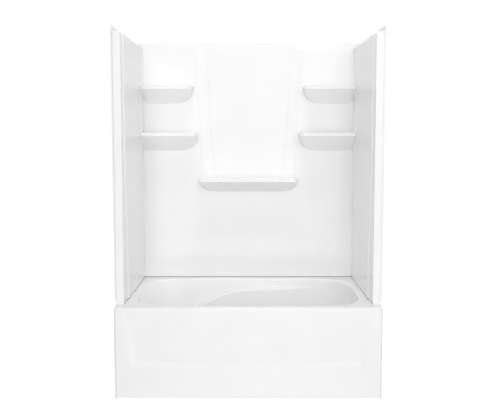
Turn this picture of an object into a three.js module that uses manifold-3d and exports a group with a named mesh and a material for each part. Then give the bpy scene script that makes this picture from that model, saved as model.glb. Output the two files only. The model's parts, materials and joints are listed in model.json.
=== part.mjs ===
// A tub and shower unit for an alcove: a bath with its own apron, a back wall with five moulded
// shelves, two side walls, the timber and seals that carry and join them, and the bath's waste.
// Millimetres. X runs along the bath, Y from the front edge of the rim to the wall studs, Z is up.

import * as THREE from 'three';
import { mergeVertices } from 'three/addons/utils/BufferGeometryUtils.js';
import Module from 'manifold-3d';

const wasm = await Module();
wasm.setup();

// The whole unit.
const unitWidth = 1524;
const unitDepth = 813;
const rimHeight = 526;
const panelTopHeight = 2062;
const flangeRise = 35;

// Fits that every piece shares.
const touchGap = 0.3;
const overrun = 6;

// Moulded walls of the four large pieces.
const tubWall = 5;
const panelWall = 4;
const flangeWall = 4;

// How far the finished faces of the wall panels stand in from the studs, and up from the rim.
const sideWallSpan = 61;
const backWallSpan = 23;
const jointHeight = 8;
const jambJointHeight = 2;

// Outside of the tub.
const tubSideClearance = 5;
const tubBackClearance = 5;
const tubCornerRadius = 18;
const tubCornerSteps = 3;
const rimEdgeRadius = 4;
const apronShoulderHeight = 28;
const apronShoulderInset = 9;
const apronShoulderShares = [0, 0.4, 0.75];
const apronShoulderDepth = 62;
const apronReturn = 46;
const toeHeight = 11;
const toeEarWidth = 12;
const tubFlangeRise = 22;
const tubFlangeStart = 118;
const tubFlangeWall = 4;

// The sunk field of the apron: a plane that leans in from the top down to a sloping ledge.
const fieldTopMargin = 26;
const fieldLedgeHeight = 190;
const fieldEndSink = 30;
const fieldMiddleSink = 20;
const fieldTopSideMargin = 63;
const fieldFootSideMargin = 96;
const ledgeSlope = 0.72;
const fieldColumnShares = [-1, -0.75, -0.5, -0.25, 0, 0.25, 0.5, 0.75, 1];

// The basin.
const rimEndWidth = 37;
const rimFrontWidth = 54;
const rimBackWidth = 41;
const basinSidePower = 10;
const basinEndPower = 2;
const basinEndFlatShare = 0.14;
const basinCornerShare = 0.87;
const longSideShares = [-1, -0.94, -0.86, -0.75, -0.56, -0.34, -0.11, 0.11, 0.34, 0.56, 0.75, 0.86, 0.94];
const endShares = [-1, -0.88, -0.7, -0.46, -0.16, 0.16, 0.46, 0.7, 0.88];
const rollRadius = 12;
const rollSteps = 3;
const floorHeight = 112;
const backrestInset = 190;
const endInset = 36;
const sideInset = 46;
const basinFillet = 62;
const filletSteps = 4;

// The armrest: a ledge along both long sides of the basin.
const armrestBelowRim = 54;
const armrestDrop = 103;
const armrestDropReach = 376;
const armrestDropPower = 1.84;
const armrestLowest = 262;
const armrestWidth = 62;
const armrestFall = 7;
const armrestFootShare = 0.5;
const armrestLeftFade = 590;
const armrestLeftFull = 440;
const armrestNarrowFrom = -200;
const armrestEnd = 418;
const aboveLedgeShares = [0, 0.5, 1];
const belowLedgeShares = [0, 0.45, 1];

// Side walls.
const jambDepth = 57;
const nailingBandWidth = 10;
const jambEdgeRadius = 5;
const stripSink = 7;
const stepLean = 6;
const stepUpperDepth = 128;
const stepLowerDepth = 188;
const stepTurnBelowTop = 572;
const stepTurnLength = 820;
const sideFlangeSetback = 12;
const sideFlangeReturn = 36;
const sideFlangeFoot = 24;
const crownHeight = 22;
const crownTurn = 7;
const crownShares = [0, 0.6, 1];
const sideLevelShares = [0, 0.1, 0.22, 0.34, 0.46, 0.58];
const cornerFlangeReach = 44;
const cornerSealThickness = 2.7;
const cornerNib = 5;

// The sunk centre panel of the back wall.
const centreSink = 12;
const centreTopSideMargin = 341;
const centreFootSideMargin = 389;
const centreSpread = 1.6;
const bevelTopWidth = 79;
const bevelFootWidth = 90;
const floorSpread = 0.65;
const centreFadeHeight = 34;
const centreLevelShares = [0, 0.14, 0.3, 0.48, 0.66, 0.84];

// The back wall's wings, which reach round the corners behind the corner shelves.
const wingThickness = 4;
const wingReach = 100;
const wingFoot = 4;
const coveRadius = 22;
const coveSteps = 3;

// Shelves.
const shelfReach = 122;
const lipHeight = 24;
const lipEdge = 5;
const shelfWall = 3.5;
const shelfCornerRadius = 30;
const shelfEndRadius = 3;
const shelfCornerSteps = 3;
const lipShares = [[0, 0], [0.7, 0.3], [1, 1]];
const bowlShares = [0.22, 0.45, 0.68, 0.86, 1];
const centreShelf = { belowTop: 854, drop: 71, half: 325, inset: 118 };
const lowerShelf = { belowTop: 555, drop: 95, length: 366, innerInset: 128, outerInset: 0 };
const upperShelf = { belowTop: 250, drop: 89, length: 337, innerInset: 140, outerInset: 54 };

// Timber under and behind the tub.
const baseBoardEndInset = 284;
const baseBoardDrainMargin = 65;
const baseBoardSideInset = 162;
const baseBoardThickness = 12;
const runnerWidth = 42;
const runnerEndMargin = 14;
const runnerPlaceShares = [0.12, 0.53, 0.94];
const braceWidth = 38;
const braceDepth = 44;
const braceFromSide = 93;
const braceStart = 42;

// Clips that hold the wall panels to each other and to the tub's upstand.
const clipWall = 1.5;
const clipHeight = 52;
const clipGrip = 18;
const clipHeightShares = [0.18, 0.5, 0.82];
const rimClipWidth = 46;
const rimClipRise = 20;
const sideRimClipShares = [0.3, 0.75];
const backRimClipHalf = 330;

// The seals.
const sealFaceInset = 0.6;

// The bath's waste, on the centre line of the basin at the right-hand end.
const drainFromSide = 245;
const drainHoleRadius = 27;
const drainFlangeRadius = 36;
const drainFlangeThickness = 3;
const drainTubeRadius = 22;
const drainTubeWall = 3;
const drainTubeLength = 34;
const drainBarWidth = 5;
const drainBarHeight = 6;
const drainBarDepth = 20;
const drainBossRadius = 8;
const drainGasketThickness = 5;
const shoeRadius = 32;
const shoeHeight = 58;
const shoeFloor = 5;
const shoeOutletLength = 62;
const pipeRadius = 19;
const pipeWall = 2.5;
const socketWall = 4;
const socketGrip = 20;
const teeFromSide = 56;
const teeHalfHeight = 50;
const teeArm = 50;
const tailRadius = 19;
const tailClearance = 4;
const nutRadius = 30;
const nutHeight = 22;
const nutLip = 5;
const nutRibs = 8;

// The overflow.
const overflowBelowRim = 130;
const overflowHoleRadius = 29;
const overflowPlateRadius = 39;
const overflowPlateThickness = 2.5;
const overflowPlateDish = 5;
const overflowSlotWidth = 30;
const overflowSlotHeight = 6;
const overflowGasketThickness = 6;
const overflowGasketRadius = 40;
const elbowFlangeThickness = 5;
const elbowLegDrop = 58;
const screwSpacing = 35;
const screwRadius = 2.2;
const screwHeadRadius = 4.4;
const screwHeadHeight = 2.2;
const screwCrownShare = 0.6;
const screwEdgeShare = 0.4;
const screwLength = 34;
const screwHoleClearance = 0.5;
const screwBarWidth = 14;
const screwBarDepth = 16;

// The stopper, pressed down to close and pulled up to open.
const stopperRadius = 30;
const stopperRise = 6;
const stopperKnobRadius = 8;
const stopperKnobHeight = 9;
const stopperStemRadius = 4;
const stopperStemLength = 30;
const stopperDomeRadius = 20;
const domeShare = 0.8;
const knobShares = [0.5, 0.8];
const knobWaistShare = 0.75;
const stopperSealThickness = 2.5;

// Points closer than this are one point.
const mergeDistance = 0.0001;

const roundSides = 32;
const screwSides = 10;

// Heights, depths and half widths that follow from the sizes above.
const studHalf = unitWidth / 2;
const sideFaceHalf = studHalf - sideWallSpan;
const backFaceDepth = unitDepth - backWallSpan;
const jambOuterHalf = studHalf - nailingBandWidth;
const tubHalf = studHalf - tubSideClearance;
const tubBack = unitDepth - tubBackClearance;
const flangeTopHeight = panelTopHeight + flangeRise;
const panelFootHeight = rimHeight + jointHeight;
const deckUnderside = rimHeight - tubWall;
const fieldTopHeight = rimHeight - fieldTopMargin;
const fieldTopHalf = tubHalf - fieldTopSideMargin;
const fieldFootHalf = tubHalf - fieldFootSideMargin;
const basinHalfLength = sideFaceHalf - rimEndWidth;
const basinBack = backFaceDepth - rimBackWidth;
const basinMiddle = (rimFrontWidth + basinBack) / 2;
const armrestHeight = rimHeight - armrestBelowRim;
const overflowHeight = rimHeight - overflowBelowRim;
const drainPlace = studHalf - drainFromSide;
const drainTubeBore = drainTubeRadius - drainTubeWall;
const pipeBore = pipeRadius - pipeWall;
const teePlace = studHalf - teeFromSide;
const wingFrontDepth = backFaceDepth - wingReach;
const centreTopHalf = sideFaceHalf - centreTopSideMargin;
const centreFootHalf = sideFaceHalf - centreFootSideMargin;
const stepTurnTop = panelTopHeight - stepTurnBelowTop;
const baseBoardFrom = baseBoardEndInset - basinHalfLength;
const baseBoardTo = drainPlace - baseBoardDrainMargin;
const braceHalf = tubHalf - braceFromSide;

// General shapes.

function asSolid(geometry) {
  const plain = geometry.clone();
  plain.deleteAttribute('normal');
  plain.deleteAttribute('uv');
  const merged = mergeVertices(plain, mergeDistance);
  const corners = merged.index.array;
  const kept = [];
  for (let i = 0; i < corners.length; i += 3) {
    const [a, b, c] = corners.slice(i, i + 3);
    if (a !== b && b !== c && c !== a) kept.push(a, b, c);
  }
  return new wasm.Manifold(new wasm.Mesh({
    numProp: 3,
    vertProperties: new Float32Array(merged.attributes.position.array),
    triVerts: new Uint32Array(kept),
  }));
}

function asGeometry(solid) {
  const mesh = solid.getMesh();
  const geometry = new THREE.BufferGeometry();
  geometry.setAttribute('position', new THREE.BufferAttribute(new Float32Array(mesh.vertProperties), 3));
  geometry.setIndex(new THREE.BufferAttribute(new Uint32Array(mesh.triVerts), 1));
  geometry.computeVertexNormals();
  return geometry;
}

function join(...geometries) {
  return asGeometry(geometries.map(asSolid).reduce((whole, next) => whole.add(next)));
}

function cut(base, ...tools) {
  return asGeometry(tools.map(asSolid).reduce((whole, next) => whole.subtract(next), asSolid(base)));
}

// A closed body through rings of points that run anticlockwise seen from above, lowest ring first.
function loft(rings) {
  const count = rings[0].length;
  const faces = [];
  for (let level = 0; level + 1 < rings.length; level++) {
    for (let i = 0; i < count; i++) {
      const a = level * count + i;
      const b = level * count + (i + 1) % count;
      faces.push(a, b, b + count, a, b + count, a + count);
    }
  }
  const flat = (ring) => ring.map(([x, y]) => new THREE.Vector2(x, y));
  const capOf = (ring) => THREE.ShapeUtils.triangulateShape(flat(ring), []);
  const last = (rings.length - 1) * count;
  for (const [a, b, c] of capOf(rings[0])) faces.push(c, b, a);
  for (const [a, b, c] of capOf(rings.at(-1))) faces.push(last + a, last + b, last + c);
  const geometry = new THREE.BufferGeometry();
  geometry.setAttribute('position', new THREE.Float32BufferAttribute(rings.flat(2), 3));
  geometry.setIndex(faces);
  geometry.computeVertexNormals();
  return geometry;
}

function block([x0, x1], [y0, y1], [z0, z1]) {
  const geometry = new THREE.BoxGeometry(x1 - x0, y1 - y0, z1 - z0);
  return geometry.translate((x0 + x1) / 2, (y0 + y1) / 2, (z0 + z1) / 2);
}

// Turned shapes are drawn as radius and height, and stand on Z.
function turned(profile, sides = roundSides) {
  const geometry = new THREE.LatheGeometry(profile.map(([r, z]) => new THREE.Vector2(r, z)), sides);
  return geometry.rotateX(Math.PI / 2);
}

function rod(radius, z0, z1, sides = roundSides) {
  return turned([[0, z0], [radius, z0], [radius, z1], [0, z1]], sides);
}

function sleeve(bore, radius, z0, z1) {
  return turned([[bore, z0], [radius, z0], [radius, z1], [bore, z1], [bore, z0]]);
}

// Lays a shape that stands on Z along X instead.
function alongX(geometry) {
  return geometry.rotateY(Math.PI / 2);
}

function smooth(value) {
  const t = Math.min(Math.max(value, 0), 1);
  return t * t * (3 - 2 * t);
}

function mix(a, b, share) {
  return a + (b - a) * share;
}

// A plan of x and y at each of several heights.
function levelled(plan, heights) {
  return heights.map((z) => plan.map(([x, y]) => [x, y, z]));
}

function mirrored(ring, side) {
  return side > 0 ? ring.map(([x, y, z]) => [-x, y, z]).reverse() : ring;
}

// The tub.

function fieldHalf(z) {
  return mix(fieldFootHalf, fieldTopHalf, (z - fieldLedgeHeight) / (fieldTopHeight - fieldLedgeHeight));
}

// The field's depth where its leaning plane would reach down to the foot of the ledge.
function fieldSinkAtFoot(x) {
  const out = x / fieldFootHalf;
  return mix(fieldMiddleSink, fieldEndSink, out * out);
}

function fieldLean(x, z) {
  return fieldSinkAtFoot(x) * (fieldTopHeight - z) / (fieldTopHeight - fieldLedgeHeight);
}

// The height at which the leaning field meets the ledge.
function ledgeTop(x) {
  const lean = fieldSinkAtFoot(x) / (fieldTopHeight - fieldLedgeHeight);
  return (ledgeSlope * fieldLedgeHeight + lean * fieldTopHeight) / (ledgeSlope + lean);
}

// The body that sinks the field into the apron's front. Its planes run on past the front face.
// It is drawn as upright sections of depth and height, set one beside the other along X.
function fieldRecess() {
  const near = -3 * overrun;
  const corner = fieldFootHalf - fieldEndSink / ledgeSlope;
  const foot = fieldLedgeHeight - overrun;
  const top = fieldTopHeight + overrun;
  const rows = [
    { levelAt: () => foot, sinkAt: () => -overrun * ledgeSlope, reach: overrun },
    { levelAt: ledgeTop, sinkAt: fieldLean, reach: 2 * overrun },
    { levelAt: () => top, sinkAt: fieldLean, reach: overrun },
  ].map((row) => {
    const height = row.levelAt(corner);
    return { ...row, height, bend: fieldHalf(height) - row.sinkAt(corner, height) / ledgeSlope };
  });
  const brought = ([, height, along]) => [near, height, along];
  const section = (points) => [brought(points[0]), ...points, brought(points.at(-1))];
  const end = (side) => section(rows.map(({ height, reach }) => (
    [-reach * ledgeSlope, height, side * (fieldHalf(height) + reach)]
  )));
  const middle = fieldColumnShares.map((share) => section(rows.map(({ levelAt, sinkAt, bend }) => {
    const x = share * bend;
    return [sinkAt(x, levelAt(x)), levelAt(x), x];
  })));
  const depth = new THREE.Vector3(0, 1, 0);
  const height = new THREE.Vector3(0, 0, 1);
  const along = new THREE.Vector3(1, 0, 0);
  const turn = new THREE.Matrix4().makeBasis(depth, height, along);
  return loft([end(-1), ...middle, end(1)]).applyMatrix4(turn);
}

function tubHalfAt(z) {
  const rise = Math.max((z - (rimHeight - apronShoulderHeight)) / apronShoulderHeight, 0);
  return tubHalf - apronShoulderInset * (1 - Math.sqrt(1 - Math.min(rise, 1) ** 2));
}

// The front of the tub in plan at one height, from left to right, moved in by an inset.
function apronPath(z, inset) {
  const half = tubHalfAt(z) - inset;
  const radius = Math.max(tubCornerRadius - inset, tubCornerRadius / 2);
  const left = Array.from({ length: tubCornerSteps + 1 }, (_, i) => {
    const angle = i / tubCornerSteps * Math.PI / 2;
    return [-half + radius * (1 - Math.cos(angle)), inset + radius * (1 - Math.sin(angle)), z];
  });
  return [...left, ...left.map(([x, y]) => [-x, y, z]).reverse()];
}

function shoulderLevels() {
  return apronShoulderShares.map((share) => rimHeight - apronShoulderHeight * (1 - share));
}

function tubBlock() {
  const sides = [
    [tubHalf, apronShoulderDepth], [tubHalf, tubBack], [-tubHalf, tubBack], [-tubHalf, apronShoulderDepth],
  ];
  const levels = [0, ...shoulderLevels(), rimHeight - rimEdgeRadius];
  const rings = levels.map((z) => [...apronPath(z, 0), ...sides.map(([x, y]) => [x, y, z])]);
  const narrowing = 1 - rimEdgeRadius / tubHalf;
  const eased = ([x, y]) => (y < apronShoulderDepth
    ? [x * narrowing, y + rimEdgeRadius * (1 - y / apronShoulderDepth), rimHeight]
    : [x, y, rimHeight]);
  return loft([...rings, rings.at(-1).map(eased)]);
}

// The space under the deck: behind the apron between its returns, and open past them.
function tubUnderside() {
  const levels = [-overrun, ...shoulderLevels().filter((z) => z < deckUnderside), deckUnderside];
  const rings = levels.map((z) => {
    const path = apronPath(z, tubWall);
    const half = -path[0][0];
    return [...path, [half, apronReturn + overrun, z], [-half, apronReturn + overrun, z]];
  });
  const room = cut(loft(rings), fieldRecess().translate(0, tubWall, 0));
  const behind = block(
    [-tubHalf - overrun, tubHalf + overrun],
    [apronReturn, tubBack + overrun],
    [-overrun, deckUnderside],
  );
  const toeHalf = tubHalf - toeEarWidth;
  const toe = block([-toeHalf, toeHalf], [-overrun, tubBack], [-overrun, toeHeight]);
  return [room, behind, toe];
}

function tubUpstand() {
  const heights = [deckUnderside + tubWall / 2, rimHeight + tubFlangeRise];
  const outer = block([-tubHalf, tubHalf], [tubFlangeStart, tubBack], heights);
  const room = block(
    [-tubHalf + tubFlangeWall, tubHalf - tubFlangeWall],
    [tubFlangeStart - overrun, tubBack - tubFlangeWall],
    [heights[0] - overrun, heights[1] + overrun],
  );
  return cut(outer, room);
}

function armrestLevel(x) {
  const drop = armrestDrop * (Math.max(-x, 0) / armrestDropReach) ** armrestDropPower;
  return Math.max(armrestHeight - drop, armrestLowest);
}

function armrestDepth(x) {
  const grown = smooth((x + armrestLeftFade) / (armrestLeftFade - armrestLeftFull));
  const along = Math.min(Math.max((x - armrestNarrowFrom) / (armrestEnd - armrestNarrowFrom), 0), 1);
  return armrestWidth * grown * (1 - along * along);
}

// The basin's outline as shares of its half length and half width: near-straight sides, and bowed ends
// with a flat in the middle.
function basinEndReach(v) {
  const bowed = Math.max(Math.abs(v) - basinEndFlatShare, 0) / (1 - basinEndFlatShare);
  return (1 - bowed ** basinEndPower) ** (1 / basinSidePower);
}

function basinSideReach(u) {
  return mix(basinEndFlatShare, 1, (1 - Math.abs(u) ** basinSidePower) ** (1 / basinEndPower));
}

function basinOutline() {
  const end = endShares.map((share) => {
    const v = share * basinCornerShare;
    return [basinEndReach(v), v];
  });
  const side = longSideShares.map((share) => {
    const u = share * basinEndReach(basinCornerShare);
    return [u, basinSideReach(u)];
  });
  return [
    ...end, ...side.map(([u, v]) => [-u, v]),
    ...end.map(([u, v]) => [-u, -v]), ...side.map(([u, v]) => [u, -v]),
  ];
}

// Share 0 is just under the roll of the rim, share 1 the top of the fillet at the floor.
function wallShareAt(z) {
  return (rimHeight - rollRadius - z) / (rimHeight - rollRadius - floorHeight - basinFillet);
}

function basinRing({ shareAt, outset = 0, lower = 0, ledge = 0, fall = 0 }) {
  return basinOutline().map(([u, v]) => {
    const reference = u * basinHalfLength;
    const share = shareAt(reference);
    const left = basinHalfLength - backrestInset * share;
    const right = basinHalfLength - endInset * share;
    const arm = armrestDepth(reference);
    const halfLength = (left + right) / 2 + outset;
    const halfWidth = (basinBack - rimFrontWidth) / 2 - sideInset * share + outset - ledge * arm;
    const drop = lower + fall * arm / armrestWidth;
    const z = mix(rimHeight - rollRadius, floorHeight + basinFillet, share) - drop;
    return [(right - left) / 2 + halfLength * u, basinMiddle + halfWidth * v, z];
  });
}

// The basin from the rim down, with its outside a wall's thickness further out and lower.
function basinRings(wall) {
  const ledgeShare = (x) => wallShareAt(armrestLevel(x));
  const rings = [];
  for (let i = 0; i <= rollSteps; i++) {
    const angle = i / (rollSteps + 1) * Math.PI / 2;
    const outset = rollRadius * (1 - Math.sin(angle)) + wall;
    rings.push(basinRing({ shareAt: () => 0, outset, lower: wall - rollRadius * Math.cos(angle) }));
  }
  for (const share of aboveLedgeShares) {
    rings.push(basinRing({ shareAt: (x) => ledgeShare(x) * share, outset: wall, lower: wall }));
  }
  for (const share of belowLedgeShares) {
    const shareAt = (x) => mix(ledgeShare(x), 1, share);
    const ledge = mix(1, armrestFootShare, share);
    rings.push(basinRing({ shareAt, outset: wall, lower: wall, ledge, fall: armrestFall * (1 - share) }));
  }
  for (let i = 1; i <= filletSteps; i++) {
    const angle = i / filletSteps * Math.PI / 2;
    const outset = wall - basinFillet * (1 - Math.cos(angle));
    const lower = wall + basinFillet * Math.sin(angle);
    rings.push(basinRing({ shareAt: () => 1, outset, lower, ledge: armrestFootShare }));
  }
  return rings;
}

function bowl(wall, topHeight) {
  const rings = basinRings(wall);
  const lid = rings[0].map(([x, y]) => [x, y, topHeight]);
  return loft([lid, ...rings].reverse());
}

// The end wall of the basin leans; parts on it are drawn standing on Z with the wall's face at zero.
function endWallLean() {
  return Math.atan2(endInset, rimHeight - rollRadius - floorHeight - basinFillet);
}

function endWallThickness() {
  return tubWall * (Math.cos(endWallLean()) + Math.sin(endWallLean()));
}

function endWallFace() {
  return basinHalfLength - endInset * wallShareAt(overflowHeight);
}

function onEndWall(geometry) {
  const leaned = geometry.rotateY(Math.PI / 2 + endWallLean());
  return leaned.translate(endWallFace(), basinMiddle, overflowHeight);
}

function tub() {
  const outside = bowl(tubWall, deckUnderside + tubWall / 2);
  const inside = bowl(0, rimHeight + overrun);
  const shell = cut(tubBlock(), fieldRecess(), ...tubUnderside());
  const hollow = cut(join(shell, outside, tubUpstand()), inside);
  const drainHole = rod(drainHoleRadius, -tubWall - overrun, overrun);
  drainHole.translate(drainPlace, basinMiddle, floorHeight);
  const overflowHole = onEndWall(rod(overflowHoleRadius, -overrun, endWallThickness() + overrun));
  return cut(hollow, drainHole, overflowHole);
}

// Side walls, drawn for the left-hand one.

function stepDepth(z) {
  return mix(stepUpperDepth, stepLowerDepth, smooth((stepTurnTop - z) / stepTurnLength));
}

// How far the panel's front part turns outward near its top edge.
function crown(z) {
  const share = Math.max((z - (panelTopHeight - crownHeight)) / crownHeight, 0);
  return crownTurn * share * share;
}

// The inner face in plan, from the corner with the back wall to the jamb.
function innerFace(z) {
  const face = -sideFaceHalf - crown(z);
  const step = stepDepth(z);
  return [
    [-sideFaceHalf, backFaceDepth - touchGap], [face, step], [face - stripSink, step - stepLean],
    [face - stripSink, jambDepth + jambEdgeRadius + panelWall],
  ];
}

function cornerFlangeFace() {
  return backFaceDepth - cornerSealThickness - 2 * touchGap;
}

function sideWallRing(z) {
  const wall = panelWall;
  const [corner, face, strip, stripFront] = innerFace(z);
  const jamb = -sideFaceHalf - stripSink;
  const radius = jambEdgeRadius;
  const flangeFace = cornerFlangeFace();
  const flangeEnd = -sideFaceHalf - cornerFlangeReach;
  const flangeFront = jambDepth + sideFlangeSetback;
  const plan = [
    corner, face, strip, stripFront, [jamb, jambDepth + radius], [jamb - radius, jambDepth],
    [-jambOuterHalf + radius, jambDepth], [-jambOuterHalf, jambDepth + radius],
    [-jambOuterHalf, flangeFront],
    [-studHalf, flangeFront], [-studHalf, flangeFront + sideFlangeReturn],
    [-studHalf + flangeWall, flangeFront + sideFlangeReturn], [-studHalf + flangeWall, flangeFront + wall],
    [-jambOuterHalf + wall, flangeFront + wall], [-jambOuterHalf + wall, jambDepth + wall],
    [jamb - wall, jambDepth + wall], [stripFront[0] - wall, stripFront[1] + wall],
    [strip[0] - wall, strip[1]], [face[0] - wall, face[1]],
    [corner[0] - wall, flangeFace - wall], [flangeEnd, flangeFace - wall], [flangeEnd, flangeFace],
    [corner[0] - cornerNib, flangeFace], [corner[0] - cornerNib, corner[1]],
  ];
  return plan.map(([x, y]) => [x, y, z]).reverse();
}

function sideWallLedge() {
  const middle = ([x, y]) => [x - panelWall / 2, y];
  const [corner, face, strip, stripFront] = innerFace(panelTopHeight).map(middle);
  const outer = -studHalf + flangeWall / 2;
  const rear = cornerFlangeFace() - panelWall / 2;
  const plan = [
    [outer, jambDepth + panelWall / 2], [stripFront[0], jambDepth + panelWall / 2],
    strip, face, [corner[0], rear], [outer, rear],
  ];
  return levelled(plan, [panelTopHeight - panelWall, panelTopHeight]);
}

function sideWall(side) {
  const plainTop = panelTopHeight - crownHeight;
  const heights = [
    rimHeight + jambJointHeight,
    ...sideLevelShares.map((share) => mix(panelFootHeight, plainTop, share)),
    ...crownShares.map((share) => mix(plainTop, panelTopHeight, share)),
  ];
  const panel = loft(heights.map((z) => mirrored(sideWallRing(z), side)));
  const ledge = loft(sideWallLedge().map((ring) => mirrored(ring, side)));
  const across = (x0, x1) => (side > 0 ? [-x1, -x0] : [x0, x1]);
  const upstand = block(
    across(-studHalf, -studHalf + flangeWall),
    [jambDepth + sideFlangeSetback, cornerFlangeFace()],
    [panelTopHeight - panelWall / 2, flangeTopHeight],
  );
  const flangeFoot = block(
    across(-studHalf - overrun, -jambOuterHalf),
    [jambDepth, backFaceDepth],
    [rimHeight - overrun, rimHeight + sideFlangeFoot],
  );
  const foot = block(
    across(-studHalf - overrun, -sideFaceHalf + overrun),
    [jambDepth + jambEdgeRadius + panelWall, backFaceDepth],
    [rimHeight - overrun, panelFootHeight],
  );
  return cut(join(panel, ledge, upstand), flangeFoot, foot);
}

// Back wall.

function shelfTop(shelf) {
  return panelTopHeight - shelf.belowTop;
}

function centreSpan(z) {
  const share = Math.min(Math.max((z - shelfTop(centreShelf)) / centreShelf.belowTop, 0), 1);
  return {
    outer: mix(centreFootHalf, centreTopHalf, share ** centreSpread),
    inner: mix(centreFootHalf - bevelFootWidth, centreTopHalf - bevelTopWidth, share ** floorSpread),
  };
}

function backWallRing(z) {
  const half = sideFaceHalf + cornerFlangeReach;
  const { outer, inner } = centreSpan(z);
  const sunk = centreSink * smooth((z - shelfTop(centreShelf) + 2 * lipHeight) / centreFadeHeight);
  const face = [
    [-half, 0], [-outer, 0], [-inner, sunk], [inner, sunk], [outer, 0], [half, 0],
  ].map(([x, sink]) => [x, backFaceDepth + sink]);
  const rear = [...face].reverse().map(([x, y]) => [x, y + panelWall]);
  return [...face, ...rear].map(([x, y]) => [x, y, z]);
}

function backPanel() {
  const fadeFoot = shelfTop(centreShelf) - 2 * lipHeight;
  const heights = [
    panelFootHeight, fadeFoot, fadeFoot + centreFadeHeight,
    ...centreLevelShares.map((share) => mix(shelfTop(centreShelf), panelTopHeight, share)),
    panelTopHeight,
  ];
  return loft(heights.map(backWallRing));
}

function wing(side) {
  const outer = -sideFaceHalf + touchGap;
  const face = outer + wingThickness;
  const foot = shelfTop(lowerShelf) - lipHeight - lowerShelf.drop - wingFoot;
  const plan = [[outer, wingFrontDepth], [face, wingFrontDepth + wingThickness]];
  for (let i = 0; i <= coveSteps; i++) {
    const angle = i / coveSteps * Math.PI / 2;
    const [out, forward] = [1 - Math.cos(angle), 1 - Math.sin(angle)];
    plan.push([face + coveRadius * out, backFaceDepth - coveRadius * forward]);
  }
  plan.push([face + coveRadius, backFaceDepth + panelWall / 2], [outer, backFaceDepth + panelWall / 2]);
  const rings = levelled(plan, [foot, panelTopHeight - panelWall / 2]);
  return loft(rings.map((ring) => mirrored(ring, side)));
}

// One level of a shelf in plan: a straight front with rounded ends, and its back in the wall.
function shelfRing({ from, to, reach, back, z, fromRadius, toRadius }) {
  const front = backFaceDepth - reach;
  const room = Math.min((to - from) / 2, (back - front) / 2);
  const end = (x, direction, radius) => Array.from({ length: shelfCornerSteps + 1 }, (_, i) => {
    const angle = i / shelfCornerSteps * Math.PI / 2;
    const r = Math.min(radius, room);
    return [x - direction * r * (1 - Math.sin(angle)), front + r * (1 - Math.cos(angle)), z];
  });
  return [[from, back, z], ...end(from, -1, fromRadius).reverse(), ...end(to, 1, toRadius), [to, back, z]];
}

// The outside of a shelf, or with a wall and a deeper back the pocket behind it.
function shelfBody({ top, drop, from, to, fromInset, toInset }, { wall = 0, back }) {
  const ringAt = ({ z, share = 0, ease = 0 }) => {
    const narrowed = 1 - Math.sqrt(1 - share * share);
    const roundness = (inset) => (inset > 0 ? shelfCornerRadius - wall : shelfEndRadius);
    return shelfRing({
      from: from + wall + ease * Math.sign(fromInset) + fromInset * narrowed,
      to: to - wall - ease * Math.sign(toInset) - toInset * narrowed,
      reach: shelfReach * (1 - share) - wall - ease,
      back,
      z,
      fromRadius: roundness(fromInset),
      toRadius: roundness(toInset),
    });
  };
  const lipFoot = top - lipHeight;
  const bowlRing = (share) => ringAt({ z: lipFoot - drop * share + wall, share });
  const rings = [...bowlShares].reverse().map(bowlRing);
  rings.push(ringAt({ z: lipFoot + wall }));
  for (const [rise, ease] of lipShares) {
    rings.push(ringAt({ z: top - lipEdge * (1 - rise) - wall, ease: lipEdge * ease }));
  }
  return loft(rings);
}

function middleShelf(shelf) {
  const { drop, half, inset } = shelf;
  return { top: shelfTop(shelf), drop, from: -half, to: half, fromInset: inset, toInset: inset };
}

function cornerShelf(shelf, side) {
  const { drop, innerInset, outerInset } = shelf;
  const top = shelfTop(shelf);
  const wallSide = sideFaceHalf - 2 * touchGap;
  const inner = sideFaceHalf - shelf.length;
  return side < 0
    ? { top, drop, from: -wallSide, to: -inner, fromInset: outerInset, toInset: innerInset }
    : { top, drop, from: inner, to: wallSide, fromInset: innerInset, toInset: outerInset };
}

function backFlange() {
  const half = studHalf - flangeWall - touchGap;
  const { outer, inner } = centreSpan(panelTopHeight);
  const near = backFaceDepth + panelWall / 2;
  const plan = [
    [-half, near], [-outer, near], [-inner, near + centreSink], [inner, near + centreSink], [outer, near],
    [half, near], [half, unitDepth - flangeWall / 2], [-half, unitDepth - flangeWall / 2],
  ];
  const ledge = loft(levelled(plan, [panelTopHeight - panelWall, panelTopHeight]));
  const heights = [panelTopHeight - panelWall / 2, flangeTopHeight];
  return [ledge, block([-half, half], [unitDepth - flangeWall, unitDepth], heights)];
}

function backWall() {
  const near = backFaceDepth + panelWall / 2;
  const middle = middleShelf(centreShelf);
  const pair = (shelf) => [cornerShelf(shelf, -1), cornerShelf(shelf, 1)];
  const corners = [lowerShelf, upperShelf].flatMap(pair);
  const shelves = [
    shelfBody(middle, { back: near + centreSink }),
    ...corners.map((shelf) => shelfBody(shelf, { back: near })),
  ];
  const rear = backFaceDepth + centreSink + panelWall + overrun;
  const pockets = [middle, ...corners].map((shelf) => shelfBody(shelf, { wall: shelfWall, back: rear }));
  return cut(join(backPanel(), wing(-1), wing(1), ...shelves, ...backFlange()), ...pockets);
}

// Timber.

function boardBottom() {
  return floorHeight - tubWall - touchGap - baseBoardThickness;
}

function baseBoard() {
  return block(
    [baseBoardFrom, baseBoardTo],
    [rimFrontWidth + baseBoardSideInset, basinBack - baseBoardSideInset],
    [boardBottom(), boardBottom() + baseBoardThickness],
  );
}

function baseRunner(share) {
  const place = mix(baseBoardFrom, baseBoardTo, share);
  const inset = baseBoardSideInset - runnerEndMargin;
  return block(
    [place - runnerWidth / 2, place + runnerWidth / 2],
    [rimFrontWidth + inset, basinBack - inset],
    [0, boardBottom() - touchGap],
  );
}

function apronBrace(side) {
  return block(
    [side * braceHalf - braceWidth / 2, side * braceHalf + braceWidth / 2],
    [braceStart, braceStart + braceDepth],
    [0, deckUnderside - touchGap],
  );
}

// Seals between the pieces.

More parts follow.
